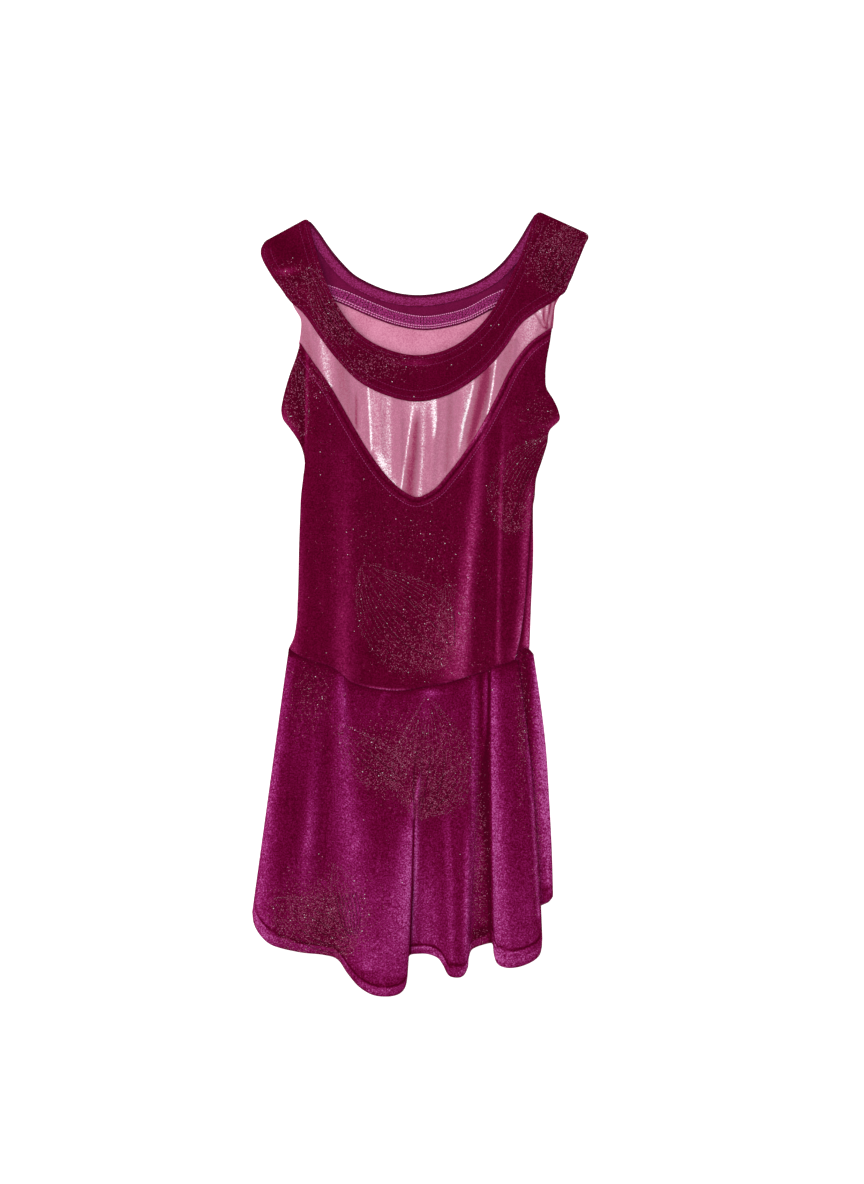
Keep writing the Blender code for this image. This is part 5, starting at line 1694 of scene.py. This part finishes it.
def all_dots():
    """Every dot of glitter seen from above: its place, half width and flash."""
    rng = np.random.default_rng(11)
    leaves = [leaf_dots(leaf, rng) for leaf in LEAVES]
    groups = [lined for lined, _ in leaves] + [loose for _, loose in leaves]
    on_lines = sum(len(lined) for lined, _ in leaves)
    for scatter in SCATTERS:
        middle = np.array((scatter.across, scatter.up))
        reach = np.array((scatter.reach_across, scatter.reach_up))
        groups.append(middle + rng.normal(0.0, SCATTER_SPREAD, (scatter.count, 2)) * reach)
    places = np.concatenate(groups)
    sizes = DOT_SIZE * (1 + DOT_SIZE_MORE * rng.random(len(places)))
    flash = FLASH + FLASH_MORE * rng.random(len(places)) ** 1.6
    flash[:on_lines] += FLASH_ON_LINES
    bright = rng.random(len(places)) < np.where(np.arange(len(places)) < on_lines, 0.5, 2.0) * BRIGHT_SHARE
    flash[bright] = 1.0
    sizes[bright] = BRIGHT_SIZE + BRIGHT_SIZE_MORE * rng.random(bright.sum())
    return places, sizes, flash


# A flake's half thickness, how far off the cloth its middle lies, and how much it tilts
FLAKE_RISE = 0.14
FLAKE_STANDOFF = 0.1
FLAKE_TILT = 0.16


def flakes(name, middles, normals, sizes, flash, material):
    """Flat eight-sided flakes: four corners round each middle, and a low point above and below."""
    rng = np.random.default_rng(len(middles))
    normals = unit(normals + rng.normal(0.0, FLAKE_TILT, normals.shape))
    turn = rng.random(len(middles)) * 2 * np.pi
    guide = np.stack((np.cos(turn), np.sin(turn), np.zeros_like(turn)), axis=1)
    sideways = unit(np.cross(normals, guide))
    forward = np.cross(sideways, normals)
    size = sizes[:, None]
    points = [middles + corner * size for corner in (sideways, forward, -sideways, -forward)]
    points += [middles + normals * FLAKE_RISE, middles - normals * FLAKE_RISE]
    places = np.arange(4)
    after = (places + 1) % 4
    upper = np.stack((places, after, np.full(4, 4)), axis=1)
    lower = np.stack((after, places, np.full(4, 5)), axis=1)
    if np.dot(np.cross(sideways[0], forward[0]), normals[0]) < 0:
        upper = upper[:, ::-1]
        lower = lower[:, ::-1]
    piece = copies(name, np.stack(points, axis=1), np.concatenate((upper, lower)), material)
    set_attribute(piece.data, "flash", np.repeat(flash, len(points)))
    return piece


def glitter_on(name, place, wall, dots, taken, material):
    """Lay the dots that fall on a panel and on nothing above it. Returns the piece and what it took."""
    places, sizes, flash = dots
    mine = inside(places[:, 0], places[:, 1], border_of(place)) & ~taken
    middles, normals = on_panel(place, wall, *shares_at(place, places[mine, 0], places[mine, 1]))
    middles = middles + normals * FLAKE_STANDOFF
    return flakes(name, middles, normals, sizes[mine], flash[mine], material), taken | mine


def add_camera():
    """Straight down on the dress, from far enough that it looks flat, as the picture was taken."""
    seen_height = 1.1307
    data = bpy.data.cameras.new("camera")
    data.lens = 200.0
    data.sensor_width = 36.0
    camera = linked("camera", data)
    camera.location = (0.0100, 0.0105, seen_height * data.lens / data.sensor_width)
    bpy.context.scene.camera = camera


def add_light(name, location, size, energy):
    """A square soft light that looks at the middle of the dress, unseen by the camera."""
    data = bpy.data.lights.new(name, "AREA")
    data.size = size
    data.energy = energy
    lamp = linked(name, data)
    lamp.location = location
    lamp.rotation_euler = (-lamp.location).to_track_quat("-Z", "Y").to_euler()
    lamp.visible_camera = False


def add_stage():
    """A pale floor, even light all round, a big soft light above and a smaller one low at the left."""
    half = 4.0
    floor = bpy.data.meshes.new("floor")
    corners = [(-half, -half, 0.0), (half, -half, 0.0), (half, half, 0.0), (-half, half, 0.0)]
    floor.from_pydata(corners, [], [(0, 1, 2, 3)])
    floor.materials.append(floor_material())
    ground = linked("floor", floor)
    ground.location.z = -0.2 * MM
    ground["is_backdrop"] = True
    world = bpy.data.worlds.new("studio")
    world.use_nodes = True
    background = world.node_tree.nodes["Background"]
    background.inputs["Color"].default_value = (1.0, 1.0, 1.0, 1.0)
    background.inputs["Strength"].default_value = 0.62
    bpy.context.scene.world = world
    add_light("overhead", (-0.3, 0.5, 2.4), size=2.2, energy=27.5)
    add_light("side", (-1.7, 0.9, 1.1), size=0.7, energy=13.0)
    bpy.context.scene.view_settings.view_transform = "Standard"


# How far the back panels' outer side reaches under the front's right edge
BODICE_REACH_UNDER = 6.0
SKIRT_REACH_UNDER = 8.0


def beyond_front_bodice(x, y):
    """Where the back bodice shows beside the front one."""
    return x > front_sides(y)[1] - BODICE_REACH_UNDER


def beyond_front_skirt(x, y):
    """Where the back skirt shows beside the front one."""
    return x > skirt_sides(share_down(y))[1] - SKIRT_REACH_UNDER


def sewn(name, groups, thickness, material):
    """One piece of thread from groups of stitches."""
    starts, ends, normals = [np.concatenate(parts) for parts in zip(*groups)]
    rise = normals * thickness * THREAD_RISE
    piece = capsules(name, starts + rise, ends + rise, normals, thickness, material)
    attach(piece, "root")


def strip_stitches(place, lean, count, from_share, to_share):
    """Stitches across or along a strip: each runs from one share up to another, leaning along it."""
    at = (np.arange(count) + 0.5) / count
    reach = lean / count
    from_at = np.clip(at - reach / 2, 0, 1)
    to_at = np.clip(at + reach / 2, 0, 1)
    starts, normals = on_panel(place, STRIP_WALL, from_at, np.full(count, from_share))
    ends, _ = on_panel(place, STRIP_WALL, to_at, np.full(count, to_share))
    return starts, ends, normals


add_camera()

# The velvets' colours, from painted shade at 0 to painted sheen at 1
WINE_STOPS = [(0.0, "450118"), (0.2, "5c0325"), (0.4, "6d0a38"), (0.6, "811548"), (0.8, "98255e"),
              (1.0, "bd5c96")]
SKIRT_STOPS = [(0.0, "46021b"), (0.2, "5b0226"), (0.4, "6e093b"), (0.6, "821556"), (0.8, "9a276f"),
               (1.0, "bd5ca0")]

wine_velvet = velvet("brushed_stretch_velvet_wine", WINE_STOPS, 2.5)
skirt_velvet = velvet("brushed_stretch_velvet_magenta", SKIRT_STOPS, 3.1)
velvet_reverse = knit("velvet_knit_reverse", "5e0732", "741242", "4c0428", 1.3)
spandex_reverse = knit("spandex_knit_reverse", "bc6686", "de94b0", "c06e8c", 1.0)
purple_reverse = overlocked("brushed_turning_knit", "680734", "a8347e", 1.3)
overlock_base = overlocked("overlocked_knit_edge", "500024", "a0226e", 2.3)
foil = foil_spandex()
wine_thread = thread_material("wine_polyester_thread", "98306c", "781848")
pink_thread = thread_material("pink_polyester_thread", "fcaad8", "dc74b2")
rose_thread = thread_material("rose_polyester_thread", "bc4c8a", "84185a")
mauve_thread = thread_material("mauve_overlock_thread", "d05ca8", "8c1c60")
glitter = glitter_material()
bare_pile = thread_material("bare_pressed_pile", "48061e", "3a0418")

# Finishes of a panel, upper side first
wine = [wine_velvet, velvet_reverse]
magenta = [skirt_velvet, velvet_reverse]
wine_inside = [velvet_reverse, wine_velvet]
foil_outside = [foil, spandex_reverse]
foil_inside = [spandex_reverse, foil]
turned = [purple_reverse, purple_reverse]
overlocked_edge = [overlock_base, overlock_base]

PANEL = "name node place columns rows wall finishes looks bare_where slot flat area rests_on"
PANELS = table(PANEL, [
    ("yoke_back_cloth", "yoke_back", place_yoke_back, 200, 24, VELVET_WALL, wine_inside, inside_looks, None,
     "yoke_velvet", (0.312, 0.114), 0.0141, ["floor"]),
    ("insert_back_cloth", "insert_back", place_insert_back, 110, 36, FOIL_WALL, foil_inside, plain_looks,
     None, "foil_spandex", (0.260, 0.128), 0.0190, ["floor"]),
    ("yoke_front_cloth", "yoke_front", place_yoke_front, 250, 40, VELVET_WALL, wine, yoke_looks, None,
     "yoke_velvet", (0.315, 0.183), 0.0176, ["yoke_back"]),
    ("insert_front_cloth", "insert_front", place_insert_front, 270, 64, FOIL_WALL, foil_outside, foil_looks,
     None, "foil_spandex", (0.255, 0.194), 0.0149, ["insert_back"]),
    ("bodice_front_cloth", "bodice_front", place_bodice_front, 210, 168, VELVET_WALL, wine, bodice_looks,
     None, "bodice_velvet", (0.266, 0.347), 0.0563, ["bodice_back"]),
    ("skirt_front_cloth", "skirt_front", place_skirt_front, 310, 124, VELVET_WALL, magenta, skirt_looks, None,
     "skirt_velvet", (0.340, 0.310), 0.0746, ["skirt_back"]),
    ("bodice_back_cloth", "bodice_back", place_bodice_back, 80, 70, VELVET_WALL, wine, back_bodice_looks,
     beyond_front_bodice, "bodice_velvet", (0.260, 0.322), 0.0587, ["floor"]),
    ("skirt_back_cloth", "skirt_back", place_skirt_back, 100, 70, VELVET_WALL, magenta, back_skirt_looks,
     beyond_front_skirt, "skirt_velvet", (0.284, 0.280), 0.0675, ["floor"]),
    ("neckline_turning_cloth", "neckline_turning_back", place_neckline_turning, 220, 8, STRIP_WALL, turned,
     plain_looks, None, "turned_edge", (0.306, 0.0100), 0.0024, ["yoke_back"]),
    ("seam_allowance_cloth", "yoke_seam_allowance_back", place_seam_allowance, 180, 8, STRIP_WALL,
     overlocked_edge, plain_looks, None, "overlocked_edge", (0.240, 0.0126), 0.0030, ["yoke_back"]),
])
for panel in PANELS:
    cloth = shell(panel)
    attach(cloth, "root")
    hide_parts(panel.node)

yoke_lines = []
for distance in (EDGE_LINE, SECOND_LINE):
    for edge, inward in ((FRONT_OUTER, 1.0), (FRONT_NECK, -1.0)):
        path = moved_aside(edge, inward * distance)[CLEAR_OF_ENDS:-CLEAR_OF_ENDS]
        yoke_lines.append(stitch_line(path, place_yoke_front, VELVET_WALL))
sewn("yoke_topstitching", yoke_lines, 0.42, wine_thread)

v_line = moved_aside(V_EDGE, -V_LINE)[CLEAR_OF_V_ENDS:-CLEAR_OF_V_ENDS]
v_stitches = [stitch_line(v_line, place_bodice_front, VELVET_WALL)]
sewn("bodice_topstitching", v_stitches, 0.6, rose_thread)

overlock = []
for low, high in ((0.16, 0.40), (0.40, 0.64), (0.64, 0.88)):
    for lean in (-0.9, 0.9):
        overlock.append(strip_stitches(place_seam_allowance, lean, OVERLOCK_STITCHES, low, high))
sewn("overlock_threads", overlock, 0.44, mauve_thread)
pink_rows = [strip_stitches(place_seam_allowance, 0.8, FLATLOCK_STITCHES, share, share)
             for share in (0.09, 0.25, 0.94)]
sewn("flatlock_threads", pink_rows, 0.9, pink_thread)

dots = all_dots()
runs = bare_lines()
taken = np.zeros(len(dots[0]), dtype=bool)
covered = np.zeros(len(runs), dtype=bool)
GLITTERED = [
    ("yoke", place_yoke_front, "yoke_velvet"),
    ("bodice", place_bodice_front, "bodice_velvet"),
    ("skirt", place_skirt_front, "skirt_velvet"),
]
for name, place, slot in GLITTERED:
    piece, taken = glitter_on("glitter_" + name, place, VELVET_WALL, dots, taken, glitter)
    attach(piece, "root")
    border = border_of(place)
    mine = inside(*runs[:, 0].T, border) & inside(*runs[:, 1].T, border) & ~covered
    covered |= mine
    starts, normals = on_panel(place, VELVET_WALL, *shares_at(place, *runs[mine, 0].T))
    ends, _ = on_panel(place, VELVET_WALL, *shares_at(place, *runs[mine, 1].T))
    sewn("bare_lines_" + name, [(starts, ends, normals)], 0.5, bare_pile)

add_stage()

low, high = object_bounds()
